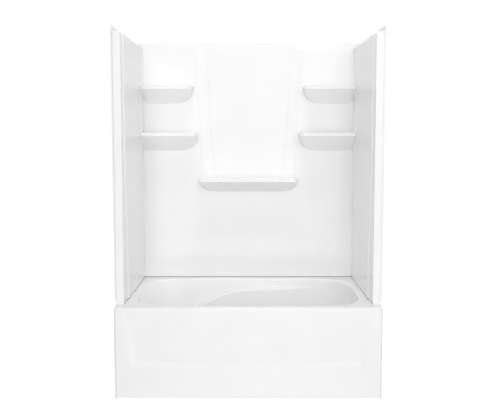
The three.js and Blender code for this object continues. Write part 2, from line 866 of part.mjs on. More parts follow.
function rimSealHeights() {
  return [rimHeight + touchGap, panelFootHeight - touchGap];
}

function sideRimSeal(side) {
  const near = innerFace(panelFootHeight).map(([x, y]) => [x - sealFaceInset, y]);
  near[0][1] = cornerFlangeFace() - panelWall;
  const far = near.map(([x, y]) => [x - panelWall + 2 * sealFaceInset, y]).reverse();
  const plan = [...near, ...far].reverse();
  return loft(levelled(plan, rimSealHeights()).map((ring) => mirrored(ring, side)));
}

function backRimSeal() {
  return block(
    [-sideFaceHalf, sideFaceHalf],
    [backFaceDepth + sealFaceInset, backFaceDepth + panelWall - sealFaceInset],
    rimSealHeights(),
  );
}

function cornerSeal(side) {
  const near = sideFaceHalf + cornerNib + touchGap;
  const far = sideFaceHalf + cornerFlangeReach - sealFaceInset;
  const rear = backFaceDepth - touchGap;
  const across = side < 0 ? [-far, -near] : [near, far];
  return block(across, [rear - cornerSealThickness, rear], [panelFootHeight, panelTopHeight]);
}

// Clips.

function cornerClip(side, share) {
  const height = mix(panelFootHeight, panelTopHeight, share);
  const end = sideFaceHalf + cornerFlangeReach + touchGap;
  const front = backFaceDepth - 3 * touchGap - cornerSealThickness - panelWall;
  const rear = backFaceDepth + panelWall + touchGap;
  const grip = end - clipGrip;
  const plan = [
    [grip, front - clipWall], [end + clipWall, front - clipWall], [end + clipWall, rear + clipWall],
    [grip, rear + clipWall], [grip, rear], [end, rear], [end, front], [grip, front],
  ];
  const rings = levelled(plan, [height - clipHeight / 2, height + clipHeight / 2]);
  return loft(rings.map((ring) => mirrored(ring, -side)));
}

// A channel that stands on the rim between a panel's back and the tub's upstand.
function channel(length, width, rise, wall) {
  const outer = block([0, length], [-width / 2, width / 2], [0, rise]);
  const half = width / 2 - wall;
  const room = block([-overrun, length + overrun], [-half, half], [wall, rise + overrun]);
  return cut(outer, room);
}

function sideRimClip(side, share) {
  const near = sideFaceHalf + panelWall + touchGap;
  const far = tubHalf - tubFlangeWall - touchGap;
  const piece = channel(far - near, rimClipWidth, rimClipRise, clipWall);
  piece.translate(side < 0 ? -far : near, mix(tubFlangeStart, backFaceDepth, share), rimHeight + touchGap);
  return piece;
}

function backRimClip(side) {
  const near = backFaceDepth + panelWall + touchGap;
  const far = tubBack - tubFlangeWall - touchGap;
  const piece = channel(far - near, rimClipWidth, rimClipRise, clipWall).rotateZ(Math.PI / 2);
  return piece.translate(side * backRimClipHalf, near, rimHeight + touchGap);
}

// The waste. Everything that stands on Z here is turned about the drain's own axis.

function drainFlange() {
  const top = drainFlangeThickness;
  const foot = -drainTubeLength;
  const ring = turned([
    [drainTubeBore, foot], [drainTubeRadius, foot], [drainTubeRadius, 0], [drainFlangeRadius, 0],
    [drainFlangeRadius, top / 3], [drainFlangeRadius - top, top], [drainTubeRadius + top, top],
    [drainTubeBore, -top], [drainTubeBore, foot],
  ]);
  const reach = (drainTubeBore + drainTubeRadius) / 2;
  const heights = [-drainBarDepth, -drainBarDepth + drainBarHeight];
  const bar = block([-reach, reach], [-drainBarWidth / 2, drainBarWidth / 2], heights);
  const crossbar = block([-drainBarWidth / 2, drainBarWidth / 2], [-reach, reach], heights);
  const boss = rod(drainBossRadius, heights[0] - drainBarHeight / 2, heights[1]);
  const guide = rod(stopperStemRadius + touchGap, foot - overrun, overrun);
  const whole = cut(join(ring, bar, crossbar, boss), guide);
  return whole.translate(drainPlace, basinMiddle, floorHeight + touchGap);
}

function gasketTop() {
  return floorHeight - tubWall - touchGap;
}

function shoeTop() {
  return gasketTop() - drainGasketThickness - touchGap;
}

function wasteLevel() {
  return shoeTop() - shoeHeight + pipeRadius + socketWall;
}

function drainGasket() {
  const top = gasketTop();
  const ring = sleeve(drainTubeRadius + touchGap, shoeRadius, top - drainGasketThickness, top);
  return ring.translate(drainPlace, basinMiddle, 0);
}

function drainShoe() {
  const top = shoeTop();
  const foot = top - shoeHeight;
  const side = (radius, from, to) => alongX(rod(radius, from, to)).translate(0, 0, wasteLevel());
  const body = rod(shoeRadius, foot, top);
  const outlet = side(pipeRadius + touchGap + socketWall, 0, shoeOutletLength);
  const well = rod(drainTubeRadius + touchGap, foot + shoeFloor, top + overrun);
  const socket = side(pipeRadius + touchGap, shoeOutletLength - socketGrip, shoeOutletLength + overrun);
  const passage = side(pipeBore, 0, shoeOutletLength);
  return cut(join(body, outlet), well, socket, passage).translate(drainPlace, basinMiddle, 0);
}

function wastePipe() {
  const from = drainPlace + shoeOutletLength - socketGrip + touchGap;
  const to = teePlace - teeArm + socketGrip - touchGap;
  return alongX(sleeve(pipeBore, pipeRadius, from, to)).translate(0, basinMiddle, wasteLevel());
}

function wasteTee() {
  const outer = pipeRadius + touchGap + socketWall;
  const top = teeHalfHeight;
  const foot = tailClearance - wasteLevel();
  const body = rod(outer, -outer, top);
  const tail = rod(tailRadius, foot, 0);
  const arm = alongX(rod(outer, -teeArm, 0));
  const topSocket = rod(pipeRadius + touchGap, top - socketGrip, top + overrun);
  const armSocket = alongX(rod(pipeRadius + touchGap, -teeArm - overrun, -teeArm + socketGrip));
  const bore = rod(pipeBore, foot - overrun, top);
  const armBore = alongX(rod(pipeBore, -teeArm, 0));
  const whole = cut(join(body, tail, arm), topSocket, armSocket, bore, armBore);
  return whole.translate(teePlace, basinMiddle, wasteLevel());
}

function elbowLegFoot() {
  return overflowHeight - elbowLegDrop;
}

function overflowPipe() {
  const from = wasteLevel() + teeHalfHeight - socketGrip + touchGap;
  const to = elbowLegFoot() + socketGrip - touchGap;
  return sleeve(pipeBore, pipeRadius, from, to).translate(teePlace, basinMiddle, 0);
}

// A ribbed nut that draws a pipe into its socket. The socket's end is at zero.
function slipNut() {
  const shape = new THREE.Shape();
  for (let i = 0; i < 2 * nutRibs; i++) {
    const angle = i / nutRibs * Math.PI;
    const radius = i % 2 ? nutRadius : nutRadius - socketWall / 2;
    shape[i ? 'lineTo' : 'moveTo'](radius * Math.cos(angle), radius * Math.sin(angle));
  }
  shape.closePath();
  const body = new THREE.ExtrudeGeometry(shape, { depth: nutHeight, bevelEnabled: false });
  const overSocket = rod(pipeRadius + socketWall + 2 * touchGap, -nutHeight - overrun, touchGap);
  const overPipe = rod(pipeRadius + touchGap, -overrun, nutHeight + overrun);
  return cut(body.translate(0, 0, nutLip + touchGap - nutHeight), overSocket, overPipe);
}

function slipNutShoe() {
  return alongX(slipNut()).translate(drainPlace + shoeOutletLength, basinMiddle, wasteLevel());
}

function slipNutTeeSide() {
  return alongX(slipNut()).rotateZ(Math.PI).translate(teePlace - teeArm, basinMiddle, wasteLevel());
}

function slipNutTeeTop() {
  return slipNut().translate(teePlace, basinMiddle, wasteLevel() + teeHalfHeight);
}

function slipNutElbow() {
  return slipNut().rotateX(Math.PI).translate(teePlace, basinMiddle, elbowLegFoot());
}

// The overflow, on the end wall of the basin.

function overflowGasket() {
  const from = endWallThickness() + touchGap;
  return onEndWall(sleeve(overflowHoleRadius, overflowGasketRadius, from, from + overflowGasketThickness));
}

// Across the wall's lean, the lower screw is on the positive side.
function screwOffset(side) {
  return side * screwSpacing / 2;
}

function screwHoles(from, to) {
  const hole = () => rod(screwRadius + screwHoleClearance, from, to, screwSides);
  return [-1, 1].map((side) => hole().translate(screwOffset(side), 0, 0));
}

function overflowElbow() {
  const outer = pipeRadius + touchGap + socketWall;
  const from = endWallThickness() + overflowGasketThickness + 2 * touchGap;
  const end = teePlace + outer - endWallFace();
  const headRadius = overflowHoleRadius + socketWall;
  const flange = rod(overflowPlateRadius, from, from + elbowFlangeThickness);
  const solidHead = join(flange, rod(headRadius, from, end));
  const room = rod(overflowHoleRadius, from - overrun, end - socketWall);
  const bar = cut(block(
    [socketWall / 2 - headRadius, headRadius - socketWall / 2],
    [-screwBarWidth / 2, screwBarWidth / 2],
    [from + elbowFlangeThickness / 2, from + screwBarDepth],
  ), ...screwHoles(from - overrun, from + screwBarDepth + overrun));
  const head = onEndWall(join(cut(solidHead, room), bar));
  const stand = (geometry) => geometry.translate(teePlace, basinMiddle, 0);
  const headRoom = onEndWall(rod(headRadius - socketWall / 2, from - overrun, end - socketWall / 2));
  const leg = cut(stand(rod(outer, elbowLegFoot(), overflowHeight)), headRoom);
  const socket = rod(pipeRadius + touchGap, elbowLegFoot() - overrun, elbowLegFoot() + socketGrip);
  const legBore = rod(pipeBore, elbowLegFoot(), overflowHeight);
  return cut(join(head, leg), stand(socket), stand(legBore));
}

function overflowPlate() {
  const rim = overflowPlateThickness;
  const dish = overflowPlateDish;
  const radius = overflowPlateRadius;
  const disc = turned([
    [0, -rim - dish], [radius - 2 * dish, -rim - dish], [radius - dish / 2, -rim - dish / 2],
    [radius, -touchGap], [radius - rim, -touchGap], [radius - 2 * rim, -dish / 2],
    [radius - 2 * dish - rim, -dish], [0, -dish],
  ]);
  const slot = block(
    [radius - overflowSlotHeight, radius + overrun],
    [-overflowSlotWidth / 2, overflowSlotWidth / 2],
    [-rim - dish - overrun, overrun],
  );
  return onEndWall(cut(disc, slot, ...screwHoles(-rim - dish - overrun, overrun)));
}

function overflowScrew(side) {
  const head = screwHeadRadius;
  const screw = turned([
    [0, -screwHeadHeight], [head * screwCrownShare, -screwHeadHeight],
    [head, -screwHeadHeight * screwEdgeShare], [head, 0],
    [screwRadius, 0], [screwRadius, screwLength], [0, screwLength],
  ], screwSides);
  const seat = -touchGap - overflowPlateThickness - overflowPlateDish;
  return onEndWall(screw.translate(screwOffset(side), 0, seat));
}

function stopper() {
  const seat = drainFlangeThickness + touchGap;
  const under = stopperSealThickness;
  const plug = drainTubeBore - 2 * touchGap;
  const domeTop = seat + stopperRise;
  const knob = stopperKnobRadius;
  const [waist, shoulder] = knobShares.map((share) => domeTop + stopperKnobHeight * share);
  return turned([
    [0, -stopperStemLength], [stopperStemRadius, -stopperStemLength], [stopperStemRadius, seat - 2 * under],
    [plug - under, seat - 2 * under], [plug, seat - under], [plug, seat], [stopperRadius, seat],
    [stopperRadius, seat + under / 2], [stopperDomeRadius, seat + stopperRise * domeShare],
    [knob, domeTop], [knob * knobWaistShare, waist], [knob, shoulder],
    [knob * knobWaistShare, domeTop + stopperKnobHeight], [0, domeTop + stopperKnobHeight],
  ]).translate(drainPlace, basinMiddle, floorHeight + touchGap);
}

// Materials.

function material(colour, roughness, metalness = 0) {
  return new THREE.MeshStandardMaterial({ color: colour, roughness, metalness });
}

const glossWhite = () => material(0xf1f2f3, 0.16);
const plywood = () => material(0xc79f6a, 0.8);
const pine = () => material(0xd8b47c, 0.75);
const sealGrey = () => material(0x8d9093, 0.7);
const blackRubber = () => material(0x232323, 0.65);
const blackPlastic = () => material(0x2b2c2e, 0.42);
const whitePlastic = () => material(0xe9e9e6, 0.4);
const springSteel = () => material(0xa9adb1, 0.35, 1);
const chrome = () => material(0xd9dce0, 0.08, 1);

function named(name, geometry, finish) {
  const mesh = new THREE.Mesh(geometry, finish);
  mesh.name = name;
  return mesh;
}

// The assembly. The origin is on the floor, in the middle of the unit.
const unit = new THREE.Group();
unit.position.set(0, -unitDepth / 2, 0);

unit.add(named('tub', tub(), glossWhite()));
unit.add(named('back_wall', backWall(), glossWhite()));
for (const [side, word] of [[-1, 'left'], [1, 'right']]) {
  unit.add(named(`${word}_wall`, sideWall(side), glossWhite()));
  unit.add(named(`rim_seal_${word}`, sideRimSeal(side), sealGrey()));
  unit.add(named(`corner_seal_${word}`, cornerSeal(side), sealGrey()));
  unit.add(named(`apron_brace_${word}`, apronBrace(side), pine()));
  unit.add(named(`rim_clip_back_${word}`, backRimClip(side), springSteel()));
  for (const [i, height] of ['lower', 'middle', 'upper'].entries()) {
    unit.add(named(`corner_clip_${word}_${height}`, cornerClip(side, clipHeightShares[i]), springSteel()));
  }
  for (const [i, place] of ['front', 'rear'].entries()) {
    unit.add(named(`rim_clip_${word}_${place}`, sideRimClip(side, sideRimClipShares[i]), springSteel()));
  }
}
unit.add(named('rim_seal_back', backRimSeal(), sealGrey()));
unit.add(named('base_board', baseBoard(), plywood()));
for (const [i, word] of ['left', 'middle', 'right'].entries()) {
  unit.add(named(`base_runner_${word}`, baseRunner(runnerPlaceShares[i]), pine()));
}
unit.add(named('drain_flange', drainFlange(), chrome()));
unit.add(named('drain_gasket', drainGasket(), blackRubber()));
unit.add(named('drain_shoe', drainShoe(), blackPlastic()));
unit.add(named('waste_pipe', wastePipe(), blackPlastic()));
unit.add(named('waste_tee', wasteTee(), blackPlastic()));
unit.add(named('overflow_pipe', overflowPipe(), blackPlastic()));
unit.add(named('slip_nut_shoe', slipNutShoe(), whitePlastic()));
unit.add(named('slip_nut_tee_side', slipNutTeeSide(), whitePlastic()));
unit.add(named('slip_nut_tee_top', slipNutTeeTop(), whitePlastic()));
unit.add(named('slip_nut_elbow', slipNutElbow(), whitePlastic()));
unit.add(named('overflow_gasket', overflowGasket(), blackRubber()));
unit.add(named('overflow_elbow', overflowElbow(), blackPlastic()));
unit.add(named('overflow_plate', overflowPlate(), chrome()));
for (const [side, word] of [[1, 'lower'], [-1, 'upper']]) {
  unit.add(named(`overflow_screw_${word}`, overflowScrew(side), chrome()));
}
unit.add(named('stopper', stopper(), chrome()));

export default unit;
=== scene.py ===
"""The looks of a tub and shower unit: the moulded shells in full detail, and finishes for every part."""

import json
import math

import bmesh
import bpy
from mathutils import Matrix, Vector


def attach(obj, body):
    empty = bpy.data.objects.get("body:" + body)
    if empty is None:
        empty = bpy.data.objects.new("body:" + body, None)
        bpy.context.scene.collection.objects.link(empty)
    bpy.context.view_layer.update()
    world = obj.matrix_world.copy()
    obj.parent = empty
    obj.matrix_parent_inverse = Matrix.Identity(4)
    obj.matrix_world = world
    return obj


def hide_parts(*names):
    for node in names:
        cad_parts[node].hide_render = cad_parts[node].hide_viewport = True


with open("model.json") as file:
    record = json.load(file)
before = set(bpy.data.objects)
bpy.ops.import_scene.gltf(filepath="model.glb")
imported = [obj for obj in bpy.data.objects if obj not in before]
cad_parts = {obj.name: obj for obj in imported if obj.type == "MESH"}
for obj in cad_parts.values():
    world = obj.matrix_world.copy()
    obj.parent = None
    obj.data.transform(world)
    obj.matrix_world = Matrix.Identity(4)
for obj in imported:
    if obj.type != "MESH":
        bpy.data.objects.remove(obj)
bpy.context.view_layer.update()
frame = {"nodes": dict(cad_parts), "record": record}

# The whole unit, in metres. Depths are measured back from the front edge of the rim.
UNIT_WIDTH = 1.524
UNIT_DEPTH = 0.813
RIM_HEIGHT = 0.526
PANEL_TOP = 2.062
FLANGE_RISE = 0.035

TOUCH_GAP = 0.0003
OVERRUN = 0.006
WELD_DISTANCE = 0.000002

# Moulded walls.
TUB_WALL = 0.005
PANEL_WALL = 0.004
FLANGE_WALL = 0.004

# Finished faces of the wall panels.
CLEAR_WIDTH = 1.402
BACK_FACE_DEPTH = 0.790
JOINT_HEIGHT = 0.008
JAMB_JOINT_HEIGHT = 0.002

# Outside of the tub.
TUB_SIDE_CLEARANCE = 0.005
TUB_BACK_CLEARANCE = 0.005
TUB_CORNER_RADIUS = 0.018
RIM_EDGE_RADIUS = 0.013
SHOULDER_HEIGHT = 0.028
SHOULDER_INSET = 0.009
SHOULDER_DEPTH = 0.062
APRON_RETURN = 0.046
TOE_HEIGHT = 0.011
TOE_EAR_WIDTH = 0.012
TUB_FLANGE_RISE = 0.022
TUB_FLANGE_START = 0.118
TUB_FLANGE_WALL = 0.004
BEAD_WIDTH = 0.007
BEAD_HEIGHT = 0.0032

# The sunk field of the apron.
FIELD_TOP = 0.500
FIELD_FOOT = 0.190
FIELD_END_SINK = 0.030
FIELD_MIDDLE_SINK = 0.020
FIELD_TOP_HALF = 0.694
FIELD_FOOT_HALF = 0.661
LEDGE_SLOPE = 0.72
FIELD_EDGE_SOFTNESS = 0.0022
# Distances from the field's slanting edge at which the apron's face has a column of points.
FIELD_EDGE_COLUMNS = (-0.060, -0.048, -0.043, -0.039, -0.035, -0.031, -0.026, -0.020, -0.010,
                      -0.004, -0.0015, 0.0015, 0.004, 0.008)
FIELD_MIDDLE_COLUMNS = 36
FIELD_EDGE_ZONE = 0.010
FIELD_LEDGE_ZONE = 0.046
APRON_FINE_STEP = 0.0035
APRON_MIDDLE_STEP = 0.012
APRON_FOOT_STEP = 0.030

# The basin.
BASIN_HALF_LENGTH = 0.664
BASIN_FRONT = 0.054
BASIN_BACK = 0.749
BASIN_SIDE_POWER = 10
BASIN_END_POWER = 2
BASIN_END_FLAT_SHARE = 0.14
LEFT_FACET_SHARES = (0.813, 0.884)
RIGHT_FACET_SHARES = (0.881, 0.923)
ROLL_RADIUS = 0.012
FLOOR_HEIGHT = 0.112
BACKREST_INSET = 0.190
END_INSET = 0.036
SIDE_INSET = 0.046
BASIN_FILLET = 0.062

# The armrest along both long sides of the basin.
ARMREST_HEIGHT = 0.472
ARMREST_DROP = 0.103
ARMREST_DROP_REACH = 0.376
ARMREST_DROP_POWER = 1.84
ARMREST_LOWEST = 0.262
ARMREST_WIDTH = 0.062
ARMREST_LEAST_WIDTH = 0.0002
ARMREST_FALL = 0.007
ARMREST_FOOT_SHARE = 0.5
ABOVE_ARMREST_SHARES = (0, 0.35, 0.7, 1)
BELOW_ARMREST_SHARES = (0, 0.15, 0.35, 0.6, 0.8, 1)
ARMREST_LEFT_FADE = 0.590
ARMREST_LEFT_FULL = 0.440
ARMREST_NARROW_FROM = -0.200
ARMREST_END = 0.418
ARMREST_HOLLOW_RADIUS = 0.010
ARMREST_EDGE_RADIUS = 0.011

# Side walls.
JAMB_DEPTH = 0.057
JAMB_OUTER_HALF = 0.752
JAMB_EDGE_RADIUS = 0.005
STRIP_SINK = 0.007
STEP_LEAN = 0.006
STEP_UPPER_DEPTH = 0.128
STEP_LOWER_DEPTH = 0.188
STEP_TURN_TOP = 1.490
STEP_TURN_LENGTH = 0.820
SIDE_FLANGE_SETBACK = 0.012
SIDE_FLANGE_RETURN = 0.036
SIDE_FLANGE_FOOT = 0.024
CROWN_HEIGHT = 0.022
CROWN_TURN = 0.007
CORNER_FLANGE_REACH = 0.044
CORNER_SEAL_THICKNESS = 0.0027
CORNER_NIB = 0.005
STEP_EDGE_RADIUS = 0.0022
STEP_HOLLOW_RADIUS = 0.0016
STRIP_HOLLOW_RADIUS = 0.002
FLANGE_EDGE_RADIUS = 0.001
SIDE_WALL_LEVELS = 44
CROWN_LEVELS = 8

# The sunk centre panel of the back wall.
CENTRE_SINK = 0.012
CENTRE_TOP_HALF = 0.360
CENTRE_FOOT_HALF = 0.312
CENTRE_SPREAD_POWER = 1.6
FLOOR_TOP_HALF = 0.281
FLOOR_FOOT_HALF = 0.222
FLOOR_SPREAD_POWER = 0.65
CENTRE_FADE_HEIGHT = 0.034
GROOVE_HALF_WIDTH = 0.0042
GROOVE_DEPTH = 0.0036
GROOVE_EDGE_RADIUS = 0.0015
BACK_WALL_LEVELS = 40

# The wings of the back wall.
WING_THICKNESS = 0.004
WING_REACH = 0.100
WING_FOOT = 0.004
COVE_RADIUS = 0.022

# Shelves.
SHELF_REACH = 0.122
LIP_HEIGHT = 0.024
LIP_EDGE_RADIUS = 0.004
# The lip's front below its rounded top edge: how far down, and how far back.
LIP_PROFILE = ((0.0065, 0), (0.0088, 0.0022), (0.0105, 0.0024), (0.0128, 0.0006), (0.0145, 0),
               (0.0215, 0), (0.0232, 0.0006))
LIP_FOOT_SET_BACK = 0.002
BOWL_SET_BACK = 0.004
BOWL_SHARES = (0.0, 0.04, 0.09, 0.15, 0.22, 0.31, 0.4, 0.5, 0.6, 0.7, 0.79, 0.87, 0.93, 0.97, 1.0)
SHELF_WALL = 0.0035
SHELF_CORNER_RADIUS = 0.030
SHELF_END_RADIUS = 0.003
# The web that closes the gap between an upper shelf and the wing.
WEB_SET_BACK = 0.008
WEB_DROP_SHARE = 0.8
CENTRE_SHELF = {"top": 1.208, "drop": 0.071, "half": 0.325, "inset": 0.118}
LOWER_SHELF = {"top": 1.507, "drop": 0.095, "inner": 0.335, "inner_inset": 0.128, "outer_inset": 0}
UPPER_SHELF = {"top": 1.812, "drop": 0.089, "inner": 0.364, "inner_inset": 0.140, "outer_inset": 0.054}

# The drain and the overflow, where they pass through the tub.
DRAIN_FROM_SIDE = 0.245
DRAIN_HOLE_RADIUS = 0.027
OVERFLOW_HEIGHT = 0.396
OVERFLOW_HOLE_RADIUS = 0.029

# The photograph's camera, just below the level of the lower corner shelves and tilted down a little.
CAMERA_DISTANCE = 3.594
CAMERA_HEIGHT = 1.489
CAMERA_PITCH = math.radians(4.43)
CAMERA_LENS = 47.05
CAMERA_SHIFT = (0.0034, -0.0478)
CAMERA_SENSOR = 36

# Light.
PURE_WHITE = (1, 1, 1, 1)
FLOOR_SIZE = 14.0
FLOOR_TONE = (0.86, 0.86, 0.86)
FLOOR_ROUGHNESS = 0.9
# How brightly the floor itself is seen, so that it is white outside the object's shadow.
FLOOR_GLOW = 0.75
WORLD_LEVEL = 0.31
WORLD_SEEN_LEVEL = 1.0
# Each lamp's place, what it faces, its width and height, and its watts.
RIGHT_LAMP = ((1.4, -3.4, 3.0), (0, 0, 0.9), (2.4, 2.0), 37)
LEFT_LAMP = ((-1.0, -4.2, 3.2), (0.1, 0.4, 1.2), (1.2, 1.2), 27)
HIGH_LAMP = ((0.1, -0.6, 4.6), (0, 0, 0.5), (1.0, 0.7), 29)
FRONT_LAMP = ((0, -4.6, 1.3), (0, 0, 1.0), (3.0, 2.0), 50)

# Finishes.
TONE_SHARES = (0.3, 0.7)
GLOSS_SPREAD_SHARE = 0.25
NOISE_DETAIL = 3.0
WHITE_LOW = (0.91, 0.91, 0.91)
WHITE_HIGH = (0.93, 0.93, 0.93)
WHITE_ROUGHNESS = 0.06
WHITE_IOR = 1.47
MOTTLE_GRAINS = 5
SMEAR_GRAINS = 9
RIPPLE_GRAINS = 14
RIPPLE_DEPTH = 0.000008
RIPPLE_DETAIL = 1.0
PINE = {"dark": (0.50, 0.33, 0.16), "light": (0.72, 0.54, 0.33), "grains": 1.0, "roughness": 0.7,
        "depth": 0.0004}
PINE_LINES_ACROSS = 110
PINE_LINES_ALONG = 4
PLYWOOD = {"dark": (0.50, 0.35, 0.19), "light": (0.68, 0.52, 0.33), "grains": 1.0, "roughness": 0.75,
           "depth": 0.0003, "stretch": (4, 70, 200)}
PLY_EDGE = (0.34, 0.22, 0.12)
PLY_BANDS = 65
PLY_WAVINESS = 0.6
PLAIN_FINISHES = {
    # The seal's tones are partly its own grey and partly painted shade: they are darker than that grey,
    # standing in for the shadow in the joint gap between the walls and the rim.
    "grey_seal": {"dark": (0.20, 0.205, 0.21), "light": (0.27, 0.275, 0.28), "grains": 420,
                  "roughness": 0.55, "depth": 0.0001},
    "black_rubber": {"dark": (0.022, 0.022, 0.023), "light": (0.05, 0.05, 0.052), "grains": 600,
                     "roughness": 0.7, "depth": 0.0001},
    "black_plastic": {"dark": (0.03, 0.03, 0.032), "light": (0.055, 0.055, 0.06), "grains": 260,
                      "roughness": 0.38, "depth": 0.00008},
    "white_plastic": {"dark": (0.76, 0.76, 0.74), "light": (0.84, 0.84, 0.82), "grains": 180,
                      "roughness": 0.35, "depth": 0.00006},
    "spring_steel": {"dark": (0.48, 0.49, 0.5), "light": (0.64, 0.65, 0.66), "grains": 60,
                     "roughness": 0.3, "depth": 0.00004, "stretch": (1, 12, 12), "metallic": 1.0},
    "chrome": {"dark": (0.76, 0.77, 0.78), "light": (0.86, 0.865, 0.87), "grains": 35,
               "roughness": 0.07, "depth": 0.000005, "metallic": 1.0},
}
# The colour sockets of the mix node, which share their names with its other sockets.
MIX_COLOUR_INPUTS = (6, 7)
MIX_COLOUR_OUTPUT = 2

# How finely round shapes are divided.
HOLE_SIDES = 64
CORNER_STEPS = 4
EDGE_STEPS = 6
OUTLINE_SIDE_STEPS = 34
OUTLINE_END_STEPS = 16
CORNER_LIMIT_SHARE = 0.45
SMOOTH_ANGLE = math.radians(32)

# Lengths that follow from the sizes above.
SIDE_FACE_HALF = CLEAR_WIDTH / 2
STUD_HALF = UNIT_WIDTH / 2
TUB_HALF = STUD_HALF - TUB_SIDE_CLEARANCE
TUB_BACK = UNIT_DEPTH - TUB_BACK_CLEARANCE
FLANGE_TOP = PANEL_TOP + FLANGE_RISE
PANEL_FOOT = RIM_HEIGHT + JOINT_HEIGHT
DECK_UNDERSIDE = RIM_HEIGHT - TUB_WALL
BASIN_MIDDLE = (BASIN_FRONT + BASIN_BACK) / 2
DRAIN_PLACE = STUD_HALF - DRAIN_FROM_SIDE
WING_FRONT_DEPTH = BACK_FACE_DEPTH - WING_REACH
FIELD_HEIGHT = FIELD_TOP - FIELD_FOOT
ROLL_FOOT = RIM_HEIGHT - ROLL_RADIUS
FILLET_TOP = FLOOR_HEIGHT + BASIN_FILLET
CENTRE_FADE_FOOT = CENTRE_SHELF["top"] - 2 * LIP_HEIGHT


# General shapes.

def clamp(value):
    return max(0.0, min(1.0, value))


def mix(a, b, share):
    return a + (b - a) * share


def smooth(value):
    t = clamp(value)
    return t * t * (3 - 2 * t)


def shares(count):
    """Evenly spaced shares from 0 to 1, both included."""
    return [i / count for i in range(count + 1)]


def quarter(count):
    """Pairs of sine and cosine over a quarter turn, from 0 to a right angle."""
    return [(math.sin(s * math.pi / 2), math.cos(s * math.pi / 2)) for s in shares(count)]


def softened(points, radii, steps=CORNER_STEPS, closed=True):
    """The same line with each corner that has a radius turned into a short curve."""
    count = len(points)
    line = []
    for i, (point, radius) in enumerate(zip(points, radii)):
        if radius == 0 or not closed and i in (0, count - 1):
            line.append(tuple(point))
            continue
        here = Vector(point)
        before = Vector(points[i - 1]) - here
        after = Vector(points[(i + 1) % count]) - here
        start = here + before * min(radius / before.length, CORNER_LIMIT_SHARE)
        end = here + after * min(radius / after.length, CORNER_LIMIT_SHARE)
        for t in shares(steps):
            line.append(tuple(start.lerp(here, t).lerp(here.lerp(end, t), t)))
    return line


def mirrored(rings, side):
    """Left-hand rings, or the same ones turned into right-hand rings."""
    if side < 0:
        return rings
    return [[(-x, y, z) for x, y, z in reversed(ring)] for ring in rings]


def mesh_object(name, vertices, faces):
    mesh = bpy.data.meshes.new(name)
    mesh.from_pydata([tuple(v) for v in vertices], [], faces)
    work = bmesh.new()
    work.from_mesh(mesh)
    bmesh.ops.remove_doubles(work, verts=work.verts, dist=WELD_DISTANCE)
    work.to_mesh(mesh)
    work.free()
    piece = bpy.data.objects.new(name, mesh)
    bpy.context.scene.collection.objects.link(piece)
    return piece


def loft(rings):
    """A closed body through rings that run anticlockwise seen from above, lowest ring first."""
    count = len(rings[0])
    vertices = [point for ring in rings for point in ring]
    faces = []
    for level in range(len(rings) - 1):
        for i in range(count):
            a = level * count + i
            b = level * count + (i + 1) % count
            faces.append((a, b, b + count, a + count))
    faces.append(tuple(reversed(range(count))))
    faces.append(tuple(range(len(vertices) - count, len(vertices))))
    return mesh_object("shape", vertices, faces)


def block(x, y, z):
    corners = [(x[0], y[0]), (x[1], y[0]), (x[1], y[1]), (x[0], y[1])]
    return loft([[(a, b, height) for a, b in corners] for height in z])


def rod(radius, z0, z1):
    turns = [2 * math.pi * i / HOLE_SIDES for i in range(HOLE_SIDES)]
    return loft([[(radius * math.cos(t), radius * math.sin(t), z) for t in turns] for z in (z0, z1)])


def combined(base, tools, operation):
    """The base with the tools joined to it or cut from it. The tools are used up."""
    for tool in tools:
        step = base.modifiers.new("step", "BOOLEAN")
        step.operation = operation
        step.solver = "MANIFOLD"
        step.object = tool
    bpy.context.view_layer.update()
    evaluated = base.evaluated_get(bpy.context.evaluated_depsgraph_get())
    mesh = bpy.data.meshes.new_from_object(evaluated)
    base.modifiers.clear()
    base.data = mesh
    for tool in tools:
        bpy.data.objects.remove(tool)
    return base


def join(base, *tools):
    return combined(base, tools, "UNION")


def cut(base, *tools):
    return combined(base, tools, "DIFFERENCE")


def finished(piece, name, finish, node, body="unit"):
    """Puts a shell in the frame, shades it smooth between sharp edges, hangs it on its body and hides the
    part that it stands in for.
    """
    piece.name = name
    piece.data.name = name
    piece.data.transform(Matrix.Translation((0, -UNIT_DEPTH / 2, 0)))
    piece.data.materials.clear()
    piece.data.materials.append(finish)
    piece.data.shade_smooth()
    piece.data.set_sharp_from_angle(angle=SMOOTH_ANGLE)
    weighted = piece.modifiers.new("normals", "WEIGHTED_NORMAL")
    weighted.keep_sharp = True
    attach(piece, body)
    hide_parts(node)
    return piece


# The tub.

def field_half(z):
    return mix(FIELD_FOOT_HALF, FIELD_TOP_HALF, (z - FIELD_FOOT) / FIELD_HEIGHT)


def soft_least(a, b, softness):
    share = clamp(0.5 + (b - a) / (2 * softness))
    return mix(b, a, share) - softness * share * (1 - share)


def field_sink(x, z):
    """How far the apron's face lies behind its plane at one place."""
    out = x / FIELD_FOOT_HALF
    lean = mix(FIELD_MIDDLE_SINK, FIELD_END_SINK, out * out) * (FIELD_TOP - z) / FIELD_HEIGHT
    side = (field_half(z) - abs(x)) * LEDGE_SLOPE
    ledge = (z - FIELD_FOOT) * LEDGE_SLOPE
    sink = soft_least(soft_least(side, ledge, FIELD_EDGE_SOFTNESS), lean, FIELD_EDGE_SOFTNESS)
    return -soft_least(-sink, 0, FIELD_EDGE_SOFTNESS)


def tub_half_at(z):
    rise = clamp((z - RIM_HEIGHT + SHOULDER_HEIGHT) / SHOULDER_HEIGHT)
    return TUB_HALF - SHOULDER_INSET * (1 - math.sqrt(1 - rise * rise))


